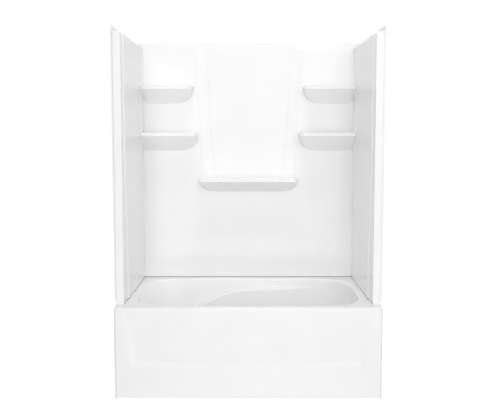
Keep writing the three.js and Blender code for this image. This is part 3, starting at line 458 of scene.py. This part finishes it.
def apron_path(z, inset):
    """The front of the tub in plan at one height, from left to right, moved in by an inset."""
    half = tub_half_at(z) - inset
    radius = max(TUB_CORNER_RADIUS - inset, TUB_CORNER_RADIUS / 2)
    corner = [(-half + radius * (1 - c), inset + radius * (1 - s), z) for s, c in quarter(EDGE_STEPS)]
    edge = field_half(z)
    columns = [-edge - out for out in reversed(FIELD_EDGE_COLUMNS)]
    limit = edge + min(FIELD_EDGE_COLUMNS)
    columns += [mix(-limit, 0, s) for s in shares(FIELD_MIDDLE_COLUMNS)[1:]]
    face = [(x, inset + field_sink(x, z), z) for x in columns]
    left = corner + face
    return left + [(-x, y, z) for x, y, z in reversed(left[:-1])]


def apron_levels():
    """Heights with rings of points: close together where the sunk field begins and ends."""
    breaks = [0, FIELD_FOOT - FIELD_EDGE_ZONE, FIELD_FOOT + FIELD_LEDGE_ZONE, FIELD_TOP - FIELD_EDGE_ZONE,
              RIM_HEIGHT - RIM_EDGE_RADIUS]
    steps = [APRON_FOOT_STEP, APRON_FINE_STEP, APRON_MIDDLE_STEP, APRON_FINE_STEP]
    levels = []
    for low, high, step in zip(breaks, breaks[1:], steps):
        count = round((high - low) / step)
        levels += [mix(low, high, s) for s in shares(count)[:-1]]
    return levels


def tub_block():
    sides = [(TUB_HALF, SHOULDER_DEPTH), (TUB_HALF, TUB_BACK),
             (-TUB_HALF, TUB_BACK), (-TUB_HALF, SHOULDER_DEPTH)]
    rings = [apron_path(z, 0) + [(x, y, z) for x, y in sides] for z in apron_levels()]
    foot = RIM_HEIGHT - RIM_EDGE_RADIUS
    last = apron_path(foot, 0) + [(x, y, foot) for x, y in sides]
    for s, c in quarter(EDGE_STEPS):
        eased = []
        for x, y, _ in last:
            front = clamp(1 - y / SHOULDER_DEPTH)
            back = RIM_EDGE_RADIUS * (1 - c)
            if y < SHOULDER_DEPTH:
                x *= 1 - back / TUB_HALF
                y += back * front
            eased.append((x, y, foot + RIM_EDGE_RADIUS * s))
        rings.append(eased)
    return loft(rings)


def tub_underside():
    """The space under the deck: behind the apron between its returns, and open past them."""
    rings = []
    for z in [-OVERRUN, *[z for z in apron_levels()[1:] if z < DECK_UNDERSIDE - OVERRUN], DECK_UNDERSIDE]:
        path = [(x, y, z) for x, y, _ in apron_path(max(z, 0), TUB_WALL)]
        half = -path[0][0]
        depth = APRON_RETURN + OVERRUN
        rings.append(path + [(half, depth, z), (-half, depth, z)])
    behind = block((-TUB_HALF - OVERRUN, TUB_HALF + OVERRUN), (APRON_RETURN, TUB_BACK + OVERRUN),
                   (-OVERRUN, DECK_UNDERSIDE))
    toe = block((-TUB_HALF + TOE_EAR_WIDTH, TUB_HALF - TOE_EAR_WIDTH), (-OVERRUN, TUB_BACK),
                (-OVERRUN, TOE_HEIGHT))
    return loft(rings), behind, toe


def tub_upstand():
    heights = (DECK_UNDERSIDE + TUB_WALL / 2, RIM_HEIGHT + TUB_FLANGE_RISE)
    outer = block((-TUB_HALF, TUB_HALF), (TUB_FLANGE_START, TUB_BACK), heights)
    inner_half = TUB_HALF - TUB_FLANGE_WALL
    room = block((-inner_half, inner_half), (TUB_FLANGE_START - OVERRUN, TUB_BACK - TUB_FLANGE_WALL),
                 (heights[0] - OVERRUN, heights[1] + OVERRUN))
    return cut(outer, room)


def armrest_level(x):
    drop = ARMREST_DROP * (max(-x, 0) / ARMREST_DROP_REACH) ** ARMREST_DROP_POWER
    return max(ARMREST_HEIGHT - drop, ARMREST_LOWEST)


def armrest_depth(x):
    grown = smooth((x + ARMREST_LEFT_FADE) / (ARMREST_LEFT_FADE - ARMREST_LEFT_FULL))
    along = clamp((x - ARMREST_NARROW_FROM) / (ARMREST_END - ARMREST_NARROW_FROM))
    return max(ARMREST_WIDTH * grown * (1 - along * along), ARMREST_LEAST_WIDTH)


def basin_end_reach(v):
    bowed = max(v - BASIN_END_FLAT_SHARE, 0) / (1 - BASIN_END_FLAT_SHARE)
    return (1 - bowed ** BASIN_END_POWER) ** (1 / BASIN_SIDE_POWER)


def basin_side_reach(u):
    return mix(BASIN_END_FLAT_SHARE, 1, (1 - u ** BASIN_SIDE_POWER) ** (1 / BASIN_END_POWER))


def basin_quarter(facet):
    """A quarter of the outline, from the middle of an end to the middle of a long side."""
    near_side, near_end = facet
    top = basin_side_reach(near_end)
    end = [(basin_end_reach(top * s), top * s) for s, _ in quarter(OUTLINE_END_STEPS)]
    side = [(near_side * c, basin_side_reach(near_side * c)) for _, c in quarter(OUTLINE_SIDE_STEPS)]
    return end + side


def basin_outline():
    """The outline as shares of the basin's half length and half width, with a flat facet at each corner."""
    right = basin_quarter(RIGHT_FACET_SHARES)
    left = basin_quarter(LEFT_FACET_SHARES)
    return (right + [(-u, v) for u, v in left[-2::-1]] + [(-u, -v) for u, v in left[1:]]
            + [(u, -v) for u, v in right[-2:0:-1]])


def wall_share_at(z):
    return (ROLL_FOOT - z) / (ROLL_FOOT - FILLET_TOP)


def basin_point(u, v, share, outset=0.0, lower=0.0, ledge=0.0, fall=0.0):
    left = BASIN_HALF_LENGTH - BACKREST_INSET * share
    right = BASIN_HALF_LENGTH - END_INSET * share
    arm = armrest_depth(u * BASIN_HALF_LENGTH)
    half_length = (left + right) / 2 + outset
    half_width = (BASIN_BACK - BASIN_FRONT) / 2 - SIDE_INSET * share + outset - ledge * arm
    z = mix(ROLL_FOOT, FILLET_TOP, share) - lower - fall * arm / ARMREST_WIDTH
    return ((right - left) / 2 + half_length * u, BASIN_MIDDLE + half_width * v, z)


def basin_profile(u, v, wall):
    """The basin's section at one place of its outline, from the rim down to the floor."""
    ledge_share = wall_share_at(armrest_level(u * BASIN_HALF_LENGTH))
    roll = [basin_point(u, v, 0, outset=ROLL_RADIUS * (1 - s) + wall, lower=wall - ROLL_RADIUS * c)
            for s, c in quarter(EDGE_STEPS)[:-1]]
    above = [basin_point(u, v, ledge_share * s, wall, wall) for s in ABOVE_ARMREST_SHARES]
    below = [basin_point(u, v, mix(ledge_share, 1, s), wall, wall, mix(1, ARMREST_FOOT_SHARE, s),
                         ARMREST_FALL * (1 - s)) for s in BELOW_ARMREST_SHARES]
    fillet = [basin_point(u, v, 1, wall - BASIN_FILLET * (1 - c), wall + BASIN_FILLET * s,
                          ARMREST_FOOT_SHARE)
              for s, c in quarter(EDGE_STEPS + CORNER_STEPS)[1:]]
    line = roll + above + below + fillet
    radii = [0.0] * len(line)
    radii[len(roll) + len(above) - 1] = ARMREST_HOLLOW_RADIUS
    radii[len(roll) + len(above)] = ARMREST_EDGE_RADIUS
    return softened(line, radii, EDGE_STEPS, closed=False)


def bowl(wall, top):
    profiles = [basin_profile(u, v, wall) for u, v in basin_outline()]
    rings = [list(ring) for ring in zip(*profiles)]
    lid = [(x, y, top) for x, y, _ in rings[0]]
    return loft([lid, *rings][::-1])


def end_wall_lean():
    return math.atan2(END_INSET, ROLL_FOOT - FILLET_TOP)


def overflow_hole():
    depth = TUB_WALL * (math.cos(end_wall_lean()) + math.sin(end_wall_lean()))
    hole = rod(OVERFLOW_HOLE_RADIUS, -OVERRUN, depth + OVERRUN)
    face = BASIN_HALF_LENGTH - END_INSET * wall_share_at(OVERFLOW_HEIGHT)
    turn = Matrix.Rotation(math.pi / 2 + end_wall_lean(), 4, "Y")
    hole.data.transform(Matrix.Translation((face, BASIN_MIDDLE, OVERFLOW_HEIGHT)) @ turn)
    return hole


def drain_hole():
    hole = rod(DRAIN_HOLE_RADIUS, FLOOR_HEIGHT - TUB_WALL - OVERRUN, FLOOR_HEIGHT + OVERRUN)
    hole.data.transform(Matrix.Translation((DRAIN_PLACE, BASIN_MIDDLE, 0)))
    return hole


def walls_plan(clear, front, z):
    """The line of the walls' finished faces in plan, a clear distance inside them."""
    face = SIDE_FACE_HALF - clear
    strip = face + STRIP_SINK
    step = step_depth(RIM_HEIGHT)
    right = [(strip, front, z), (strip, step - STEP_LEAN, z), (face, step, z),
             (face, BACK_FACE_DEPTH - clear, z)]
    return right + [(-x, y, z) for x, y, z in reversed(right)]


def deck_bead():
    """The small cove in which the deck meets the walls."""
    front = JAMB_DEPTH + JAMB_EDGE_RADIUS
    low = RIM_HEIGHT - TUB_WALL / 2
    top = RIM_HEIGHT + BEAD_HEIGHT
    outer = loft([walls_plan(TOUCH_GAP, front, z) for z in (low, top)])
    rings = [walls_plan(BEAD_WIDTH, front - OVERRUN, low - OVERRUN)]
    rings += [walls_plan(mix(BEAD_WIDTH, TOUCH_GAP, s), front - OVERRUN,
                         mix(top, RIM_HEIGHT, c) + TOUCH_GAP)
              for s, c in quarter(EDGE_STEPS)]
    return cut(outer, loft(rings))


def tub():
    shell = cut(tub_block(), *tub_underside())
    whole = join(shell, bowl(TUB_WALL, DECK_UNDERSIDE + TUB_WALL / 2), tub_upstand(), deck_bead())
    return cut(whole, bowl(0, RIM_HEIGHT + OVERRUN), drain_hole(), overflow_hole())


# Side walls, drawn for the left-hand one.

def step_depth(z):
    return mix(STEP_UPPER_DEPTH, STEP_LOWER_DEPTH, smooth((STEP_TURN_TOP - z) / STEP_TURN_LENGTH))


def crown(z):
    share = max((z - (PANEL_TOP - CROWN_HEIGHT)) / CROWN_HEIGHT, 0)
    return CROWN_TURN * share * share


def corner_flange_face():
    return BACK_FACE_DEPTH - CORNER_SEAL_THICKNESS - 2 * TOUCH_GAP


def side_wall_ring(z):
    wall = PANEL_WALL
    face = -SIDE_FACE_HALF - crown(z)
    strip = face - STRIP_SINK
    jamb = -SIDE_FACE_HALF - STRIP_SINK
    step = step_depth(z)
    flange_face = corner_flange_face()
    flange_end = -SIDE_FACE_HALF - CORNER_FLANGE_REACH
    flange_front = JAMB_DEPTH + SIDE_FLANGE_SETBACK
    corner = -SIDE_FACE_HALF
    turn = JAMB_DEPTH + JAMB_EDGE_RADIUS + wall
    plan = [
        (corner, BACK_FACE_DEPTH - TOUCH_GAP, 0), (face, step, STEP_EDGE_RADIUS),
        (strip, step - STEP_LEAN, STEP_HOLLOW_RADIUS), (strip, turn, STRIP_HOLLOW_RADIUS),
        (jamb, JAMB_DEPTH, JAMB_EDGE_RADIUS), (-JAMB_OUTER_HALF, JAMB_DEPTH, JAMB_EDGE_RADIUS),
        (-JAMB_OUTER_HALF, flange_front, FLANGE_EDGE_RADIUS),
        (-STUD_HALF, flange_front, FLANGE_EDGE_RADIUS),
        (-STUD_HALF, flange_front + SIDE_FLANGE_RETURN, 0),
        (-STUD_HALF + FLANGE_WALL, flange_front + SIDE_FLANGE_RETURN, 0),
        (-STUD_HALF + FLANGE_WALL, flange_front + wall, 0),
        (-JAMB_OUTER_HALF + wall, flange_front + wall, 0),
        (-JAMB_OUTER_HALF + wall, JAMB_DEPTH + wall, 0), (jamb - wall, JAMB_DEPTH + wall, 0),
        (strip - wall, turn + wall, 0), (strip - wall, step - STEP_LEAN, 0), (face - wall, step, 0),
        (corner - wall, flange_face - wall, 0), (flange_end, flange_face - wall, 0),
        (flange_end, flange_face, 0), (corner - CORNER_NIB, flange_face, 0),
        (corner - CORNER_NIB, BACK_FACE_DEPTH - TOUCH_GAP, 0),
    ]
    points = [(x, y, z) for x, y, _ in plan]
    return softened(points, [radius for _, _, radius in plan])[::-1]


def side_wall_ledge():
    middle = PANEL_WALL / 2
    face = -SIDE_FACE_HALF - crown(PANEL_TOP) - middle
    corner = -SIDE_FACE_HALF - middle
    strip = face - STRIP_SINK
    step = step_depth(PANEL_TOP)
    outer = -STUD_HALF + FLANGE_WALL / 2
    rear = corner_flange_face() - middle
    plan = [(outer, JAMB_DEPTH + middle), (strip, JAMB_DEPTH + middle), (strip, step - STEP_LEAN),
            (face, step), (corner, rear), (outer, rear)]
    return [[(x, y, z) for x, y in plan] for z in (PANEL_TOP - PANEL_WALL, PANEL_TOP)]


def side_wall(side):
    plain_top = PANEL_TOP - CROWN_HEIGHT
    levels = [RIM_HEIGHT + JAMB_JOINT_HEIGHT]
    levels += [mix(PANEL_FOOT, plain_top, s) for s in shares(SIDE_WALL_LEVELS)]
    levels += [mix(plain_top, PANEL_TOP, s) for s in shares(CROWN_LEVELS)[1:]]
    panel = loft(mirrored([side_wall_ring(z) for z in levels], side))
    ledge = loft(mirrored(side_wall_ledge(), side))

    def across(x0, x1):
        return (x0, x1) if side < 0 else (-x1, -x0)

    upstand = block(across(-STUD_HALF, -STUD_HALF + FLANGE_WALL),
                    (JAMB_DEPTH + SIDE_FLANGE_SETBACK, corner_flange_face()),
                    (PANEL_TOP - PANEL_WALL / 2, FLANGE_TOP))
    flange_foot = block(across(-STUD_HALF - OVERRUN, -JAMB_OUTER_HALF), (JAMB_DEPTH, BACK_FACE_DEPTH),
                        (RIM_HEIGHT - OVERRUN, RIM_HEIGHT + SIDE_FLANGE_FOOT))
    foot = block(across(-STUD_HALF - OVERRUN, -SIDE_FACE_HALF + OVERRUN),
                 (JAMB_DEPTH + JAMB_EDGE_RADIUS + PANEL_WALL, BACK_FACE_DEPTH),
                 (RIM_HEIGHT - OVERRUN, PANEL_FOOT))
    return cut(join(panel, ledge, upstand), flange_foot, foot)


# The back wall.

def centre_span(z):
    share = clamp((z - CENTRE_SHELF["top"]) / (PANEL_TOP - CENTRE_SHELF["top"]))
    return (mix(CENTRE_FOOT_HALF, CENTRE_TOP_HALF, share ** CENTRE_SPREAD_POWER),
            mix(FLOOR_FOOT_HALF, FLOOR_TOP_HALF, share ** FLOOR_SPREAD_POWER))


def back_wall_ring(z):
    half = SIDE_FACE_HALF + CORNER_FLANGE_REACH
    outer, inner = centre_span(z)
    share = smooth((z - CENTRE_FADE_FOOT) / CENTRE_FADE_HEIGHT)
    sunk = CENTRE_SINK * share
    groove = GROOVE_DEPTH * share
    edge = GROOVE_HALF_WIDTH
    rise = sunk * edge / (outer - inner)
    left = [(-half, 0), (-outer - edge, 0), (-outer, groove), (-outer + edge, rise),
            (-inner - edge, sunk - rise), (-inner, sunk + groove), (-inner + edge, sunk)]
    line = left + [(-x, sink) for x, sink in reversed(left)]
    radii = [0, *[GROOVE_EDGE_RADIUS] * (len(line) - 2), 0]
    face = softened([(x, BACK_FACE_DEPTH + sink, z) for x, sink in line], radii, closed=False)
    return face + [(x, y + PANEL_WALL, z) for x, y, _ in reversed(face)]


def back_panel():
    levels = [PANEL_FOOT]
    levels += [CENTRE_FADE_FOOT + CENTRE_FADE_HEIGHT * s for s in shares(EDGE_STEPS)]
    levels += [mix(CENTRE_SHELF["top"], PANEL_TOP, s) for s in shares(BACK_WALL_LEVELS)]
    return loft([back_wall_ring(z) for z in levels])


def wing(side):
    outer = -SIDE_FACE_HALF + TOUCH_GAP
    face = outer + WING_THICKNESS
    foot = LOWER_SHELF["top"] - LIP_HEIGHT - LOWER_SHELF["drop"] - WING_FOOT
    rear = BACK_FACE_DEPTH + PANEL_WALL / 2
    plan = [(outer, WING_FRONT_DEPTH)]
    plan += [(face - WING_THICKNESS * (1 - s), WING_FRONT_DEPTH + WING_THICKNESS * (1 - c))
             for s, c in quarter(CORNER_STEPS)[1:]]
    plan += [(face + COVE_RADIUS * (1 - c), BACK_FACE_DEPTH - COVE_RADIUS * (1 - s))
             for s, c in quarter(EDGE_STEPS + CORNER_STEPS)]
    plan += [(face + COVE_RADIUS, rear), (outer, rear)]
    heights = (foot, PANEL_TOP - PANEL_WALL / 2)
    return loft(mirrored([[(x, y, z) for x, y in plan] for z in heights], side))


def shelf_ring(left, right, front, back, z, left_radius, right_radius):
    """One level of a shelf in plan: a straight front with rounded ends, and its back in the wall."""
    room = min((right - left) / 2, (back - front) / 2)

    def end(x, direction, radius):
        r = min(radius, room)
        return [(x - direction * r * (1 - s), front + r * (1 - c), z) for s, c in quarter(EDGE_STEPS)]

    return ([(left, back, z)] + end(left, -1, left_radius)[::-1] + end(right, 1, right_radius)
            + [(right, back, z)])


def shelf_body(shelf, wall, back, reach=SHELF_REACH):
    """The outside of a shelf, or with a wall and a deeper back the pocket behind it."""
    top = shelf["top"]
    lip_foot = top - LIP_HEIGHT

    def ring(z, share=0.0, ease=0.0):
        narrowed = 1 - math.sqrt(1 - share * share)
        left_eased = ease if shelf["left_inset"] else 0
        right_eased = ease if shelf["right_inset"] else 0
        return shelf_ring(
            shelf["left"] + wall + left_eased + shelf["left_inset"] * narrowed,
            shelf["right"] - wall - right_eased - shelf["right_inset"] * narrowed,
            BACK_FACE_DEPTH - (reach * (1 - share) - wall - ease), back, z,
            SHELF_CORNER_RADIUS - wall if shelf["left_inset"] else SHELF_END_RADIUS,
            SHELF_CORNER_RADIUS - wall if shelf["right_inset"] else SHELF_END_RADIUS)

    rings = [ring(lip_foot - shelf["drop"] * share + wall, share, BOWL_SET_BACK * (1 - share))
             for share in BOWL_SHARES[::-1]]
    if wall == 0:
        rings.append(ring(lip_foot, ease=LIP_FOOT_SET_BACK))
        rings += [ring(top - down, ease=back_by) for down, back_by in LIP_PROFILE[::-1]]
    rings += [ring(top - LIP_EDGE_RADIUS * (1 - s) - wall, ease=LIP_EDGE_RADIUS * (1 - c))
              for s, c in quarter(EDGE_STEPS)]
    return loft(rings)


def centre_shelf():
    half, inset = CENTRE_SHELF["half"], CENTRE_SHELF["inset"]
    return {**CENTRE_SHELF, "left": -half, "right": half, "left_inset": inset, "right_inset": inset}


def corner_shelf(shelf, side):
    outer = SIDE_FACE_HALF - 2 * TOUCH_GAP
    level = {"top": shelf["top"], "drop": shelf["drop"]}
    if side < 0:
        return {**level, "left": -outer, "right": -shelf["inner"],
                "left_inset": shelf["outer_inset"], "right_inset": shelf["inner_inset"]}
    return {**level, "left": shelf["inner"], "right": outer,
            "left_inset": shelf["inner_inset"], "right_inset": shelf["outer_inset"]}


def shelf_web(shelf, side, back):
    """The filling between a corner shelf's outer end and the wing, a little behind the shelf's front."""
    squared = corner_shelf({**shelf, "drop": shelf["drop"] * WEB_DROP_SHARE, "outer_inset": 0}, side)
    return shelf_body(squared, 0, back, SHELF_REACH - WEB_SET_BACK)


def back_flange():
    half = STUD_HALF - FLANGE_WALL - TOUCH_GAP
    outer, inner = centre_span(PANEL_TOP)
    near = BACK_FACE_DEPTH + PANEL_WALL / 2
    far = UNIT_DEPTH - FLANGE_WALL / 2
    plan = [(-half, near), (-outer, near), (-inner, near + CENTRE_SINK), (inner, near + CENTRE_SINK),
            (outer, near), (half, near), (half, far), (-half, far)]
    ledge = loft([[(x, y, z) for x, y in plan] for z in (PANEL_TOP - PANEL_WALL, PANEL_TOP)])
    upstand = block((-half, half), (UNIT_DEPTH - FLANGE_WALL, UNIT_DEPTH),
                    (PANEL_TOP - PANEL_WALL / 2, FLANGE_TOP))
    return ledge, upstand


def back_wall():
    near = BACK_FACE_DEPTH + PANEL_WALL / 2
    centre = centre_shelf()
    corners = [corner_shelf(shelf, side) for shelf in (LOWER_SHELF, UPPER_SHELF) for side in (-1, 1)]
    shelves = [shelf_body(centre, 0, near + CENTRE_SINK)]
    shelves += [shelf_body(shelf, 0, near) for shelf in corners]
    shelves += [shelf_web(UPPER_SHELF, side, near) for side in (-1, 1)]
    rear = BACK_FACE_DEPTH + CENTRE_SINK + PANEL_WALL + OVERRUN
    pockets = [shelf_body(shelf, SHELF_WALL, rear) for shelf in (centre, *corners)]
    return cut(join(back_panel(), wing(-1), wing(1), *shelves, *back_flange()), *pockets)


# Materials.

def shader_of(finish):
    return finish.node_tree.nodes["Principled BSDF"]


def new_finish(name, roughness, metallic=0.0):
    finish = bpy.data.materials.new(name)
    finish.use_nodes = True
    shader_of(finish).inputs["Roughness"].default_value = roughness
    shader_of(finish).inputs["Metallic"].default_value = metallic
    return finish


def add_node(finish, kind, **settings):
    """A new node with its settings, where a capital names an input and a small letter a property."""
    node = finish.node_tree.nodes.new(kind)
    for name, value in settings.items():
        if name[0].isupper():
            node.inputs[name].default_value = value
        else:
            setattr(node, name, value)
    return node


def link(finish, output, target):
    finish.node_tree.links.new(output, target)


def add_noise(finish, scale, stretch=(1, 1, 1), detail=NOISE_DETAIL):
    """Noise in the object's own metres, with the number of its grains in a metre along each axis."""
    place = add_node(finish, "ShaderNodeTexCoord")
    mapping = add_node(finish, "ShaderNodeMapping", Scale=stretch)
    noise = add_node(finish, "ShaderNodeTexNoise", Scale=scale, Detail=detail)
    link(finish, place.outputs["Object"], mapping.inputs["Vector"])
    link(finish, mapping.outputs["Vector"], noise.inputs["Vector"])
    return noise.outputs["Fac"]


def add_tones(finish, factor, dark, light):
    """Colours between two tones, by a factor that gathers about its middle."""
    tones = add_node(finish, "ShaderNodeValToRGB")
    low, high = tones.color_ramp.elements
    low.position, high.position = TONE_SHARES
    low.color = (*dark, 1)
    high.color = (*light, 1)
    link(finish, factor, tones.inputs["Fac"])
    return tones.outputs["Color"]


def add_relief(finish, height, depth):
    relief = add_node(finish, "ShaderNodeBump", Distance=depth)
    link(finish, height, relief.inputs["Height"])
    return relief


def add_gloss(finish, factor, low, high):
    """Roughness between two levels."""
    gloss = add_node(finish, "ShaderNodeMapRange")
    gloss.inputs["To Min"].default_value = low
    gloss.inputs["To Max"].default_value = high
    link(finish, factor, gloss.inputs["Value"])
    link(finish, gloss.outputs["Result"], shader_of(finish).inputs["Roughness"])


def plain_finish(name, dark, light, grains, roughness, depth, stretch=(1, 1, 1), metallic=0.0):
    """A finish whose tone, gloss and surface all vary a little with one noise."""
    finish = new_finish(name, roughness, metallic)
    noise = add_noise(finish, grains, stretch)
    link(finish, add_tones(finish, noise, dark, light), shader_of(finish).inputs["Base Color"])
    link(finish, add_relief(finish, noise, depth).outputs["Normal"], shader_of(finish).inputs["Normal"])
    add_gloss(finish, noise, roughness * (1 - GLOSS_SPREAD_SHARE), roughness * (1 + GLOSS_SPREAD_SHARE))
    return finish


def white_composite():
    """Glossy moulded composite: faint mottling and a slow ripple in its surface."""
    finish = new_finish("white_composite", WHITE_ROUGHNESS)
    shader = shader_of(finish)
    shader.inputs["IOR"].default_value = WHITE_IOR
    tones = add_tones(finish, add_noise(finish, MOTTLE_GRAINS), WHITE_LOW, WHITE_HIGH)
    ripple = add_relief(finish, add_noise(finish, RIPPLE_GRAINS, detail=RIPPLE_DETAIL), RIPPLE_DEPTH)
    link(finish, tones, shader.inputs["Base Color"])
    link(finish, ripple.outputs["Normal"], shader.inputs["Normal"])
    add_gloss(finish, add_noise(finish, SMEAR_GRAINS), WHITE_ROUGHNESS * (1 - GLOSS_SPREAD_SHARE),
              WHITE_ROUGHNESS * (1 + GLOSS_SPREAD_SHARE))
    return finish


def pine(name, along):
    """Sawn timber with its grain along one axis."""
    stretch = [PINE_LINES_ACROSS] * 3
    stretch[along] = PINE_LINES_ALONG
    return plain_finish(name, **PINE, stretch=stretch)


def plywood():
    """Plies in layers at the edges, and a long grain on the faces."""
    finish = plain_finish("plywood", **PLYWOOD)
    place = add_node(finish, "ShaderNodeTexCoord")
    plies = add_node(finish, "ShaderNodeTexWave", bands_direction="Z", Scale=PLY_BANDS,
                     Distortion=PLY_WAVINESS)
    axes = add_node(finish, "ShaderNodeSeparateXYZ")
    upright = add_node(finish, "ShaderNodeMath", operation="ABSOLUTE")
    blend = add_node(finish, "ShaderNodeMix", data_type="RGBA")
    shader = shader_of(finish)
    grain = shader.inputs["Base Color"].links[0].from_socket
    link(finish, place.outputs["Object"], plies.inputs["Vector"])
    link(finish, place.outputs["Normal"], axes.inputs["Vector"])
    link(finish, axes.outputs["Z"], upright.inputs[0])
    link(finish, upright.outputs[0], blend.inputs["Factor"])
    edges = add_tones(finish, plies.outputs["Fac"], PLY_EDGE, PLYWOOD["light"])
    for colour, number in zip((edges, grain), MIX_COLOUR_INPUTS):
        link(finish, colour, blend.inputs[number])
    link(finish, blend.outputs[MIX_COLOUR_OUTPUT], shader.inputs["Base Color"])
    return finish


def carried_finishes():
    """The finishes of the parts that come over as they are, by their slots in the record."""
    finishes = {name: plain_finish(name, **values) for name, values in PLAIN_FINISHES.items()}
    return {**finishes, "plywood": plywood(), "pine": pine("pine", along=1)}


def dress_carried(finishes):
    """Gives each part that isn't replaced the finish of its slot. The posts' grain runs upright."""
    upright = pine("pine_upright", along=2)
    for part in frame["record"]["subparts"]:
        if part["material_slot"] not in finishes:
            continue
        finish = upright if part["node"].startswith("apron_brace") else finishes[part["material_slot"]]
        for slot in frame["nodes"][part["node"]].material_slots:
            slot.material = finish


# Camera, floor and light.

def add_camera():
    data = bpy.data.cameras.new("camera")
    data.lens = CAMERA_LENS
    data.sensor_width = CAMERA_SENSOR
    data.shift_x, data.shift_y = CAMERA_SHIFT
    camera = bpy.data.objects.new("camera", data)
    camera.location = (0, -UNIT_DEPTH / 2 - CAMERA_DISTANCE, CAMERA_HEIGHT)
    camera.rotation_euler = (math.pi / 2 - CAMERA_PITCH, 0, 0)
    bpy.context.scene.collection.objects.link(camera)
    bpy.context.scene.camera = camera


def seen_share(place):
    """1 where the camera, a mirror or glass looks at a place, and 0 for the light that it sheds."""
    path = add_node(place, "ShaderNodeLightPath")
    seen = path.outputs["Is Camera Ray"]
    for ray in ("Is Glossy Ray", "Is Transmission Ray"):
        either = add_node(place, "ShaderNodeMath", operation="MAXIMUM")
        link(place, seen, either.inputs[0])
        link(place, path.outputs[ray], either.inputs[1])
        seen = either.outputs[0]
    return seen


def add_floor():
    half = FLOOR_SIZE / 2
    floor = mesh_object("floor", [(-half, -half, 0), (half, -half, 0), (half, half, 0), (-half, half, 0)],
                        [(0, 1, 2, 3)])
    finish = new_finish("floor", FLOOR_ROUGHNESS)
    shader = shader_of(finish)
    shader.inputs["Base Color"].default_value = (*FLOOR_TONE, 1)
    shader.inputs["Emission Color"].default_value = PURE_WHITE
    glow = add_node(finish, "ShaderNodeMath", operation="MULTIPLY")
    glow.inputs[1].default_value = FLOOR_GLOW
    link(finish, seen_share(finish), glow.inputs[0])
    link(finish, glow.outputs[0], shader.inputs["Emission Strength"])
    floor.data.materials.append(finish)


def add_world():
    world = bpy.data.worlds.new("world")
    bpy.context.scene.world = world
    world.use_nodes = True
    plain = world.node_tree.nodes["Background"]
    plain.inputs["Color"].default_value = PURE_WHITE
    plain.inputs["Strength"].default_value = WORLD_LEVEL
    seen = add_node(world, "ShaderNodeBackground", Color=PURE_WHITE, Strength=WORLD_SEEN_LEVEL)
    both = add_node(world, "ShaderNodeMixShader")
    link(world, seen_share(world), both.inputs["Fac"])
    link(world, plain.outputs[0], both.inputs[1])
    link(world, seen.outputs[0], both.inputs[2])
    link(world, both.outputs[0], world.node_tree.nodes["World Output"].inputs["Surface"])


def add_area(name, place, target, size, watts, in_gloss=False):
    data = bpy.data.lights.new(name, "AREA")
    data.shape = "RECTANGLE"
    data.size, data.size_y = size
    data.energy = watts
    lamp = bpy.data.objects.new(name, data)
    lamp.location = place
    lamp.visible_glossy = in_gloss
    lamp.rotation_euler = (Vector(target) - Vector(place)).to_track_quat("-Z", "Y").to_euler()
    bpy.context.scene.collection.objects.link(lamp)


bpy.context.scene.view_settings.view_transform = "Standard"
add_camera()
add_floor()
add_world()
add_area("right_lamp", *RIGHT_LAMP)
add_area("left_lamp", *LEFT_LAMP)
add_area("high_lamp", *HIGH_LAMP, in_gloss=True)
add_area("front_lamp", *FRONT_LAMP)

composite = white_composite()
dress_carried(carried_finishes())
finished(tub(), "tub_shell", composite, "tub")
finished(back_wall(), "back_wall_shell", composite, "back_wall")
finished(side_wall(-1), "left_wall_shell", composite, "left_wall")
finished(side_wall(1), "right_wall_shell", composite, "right_wall")
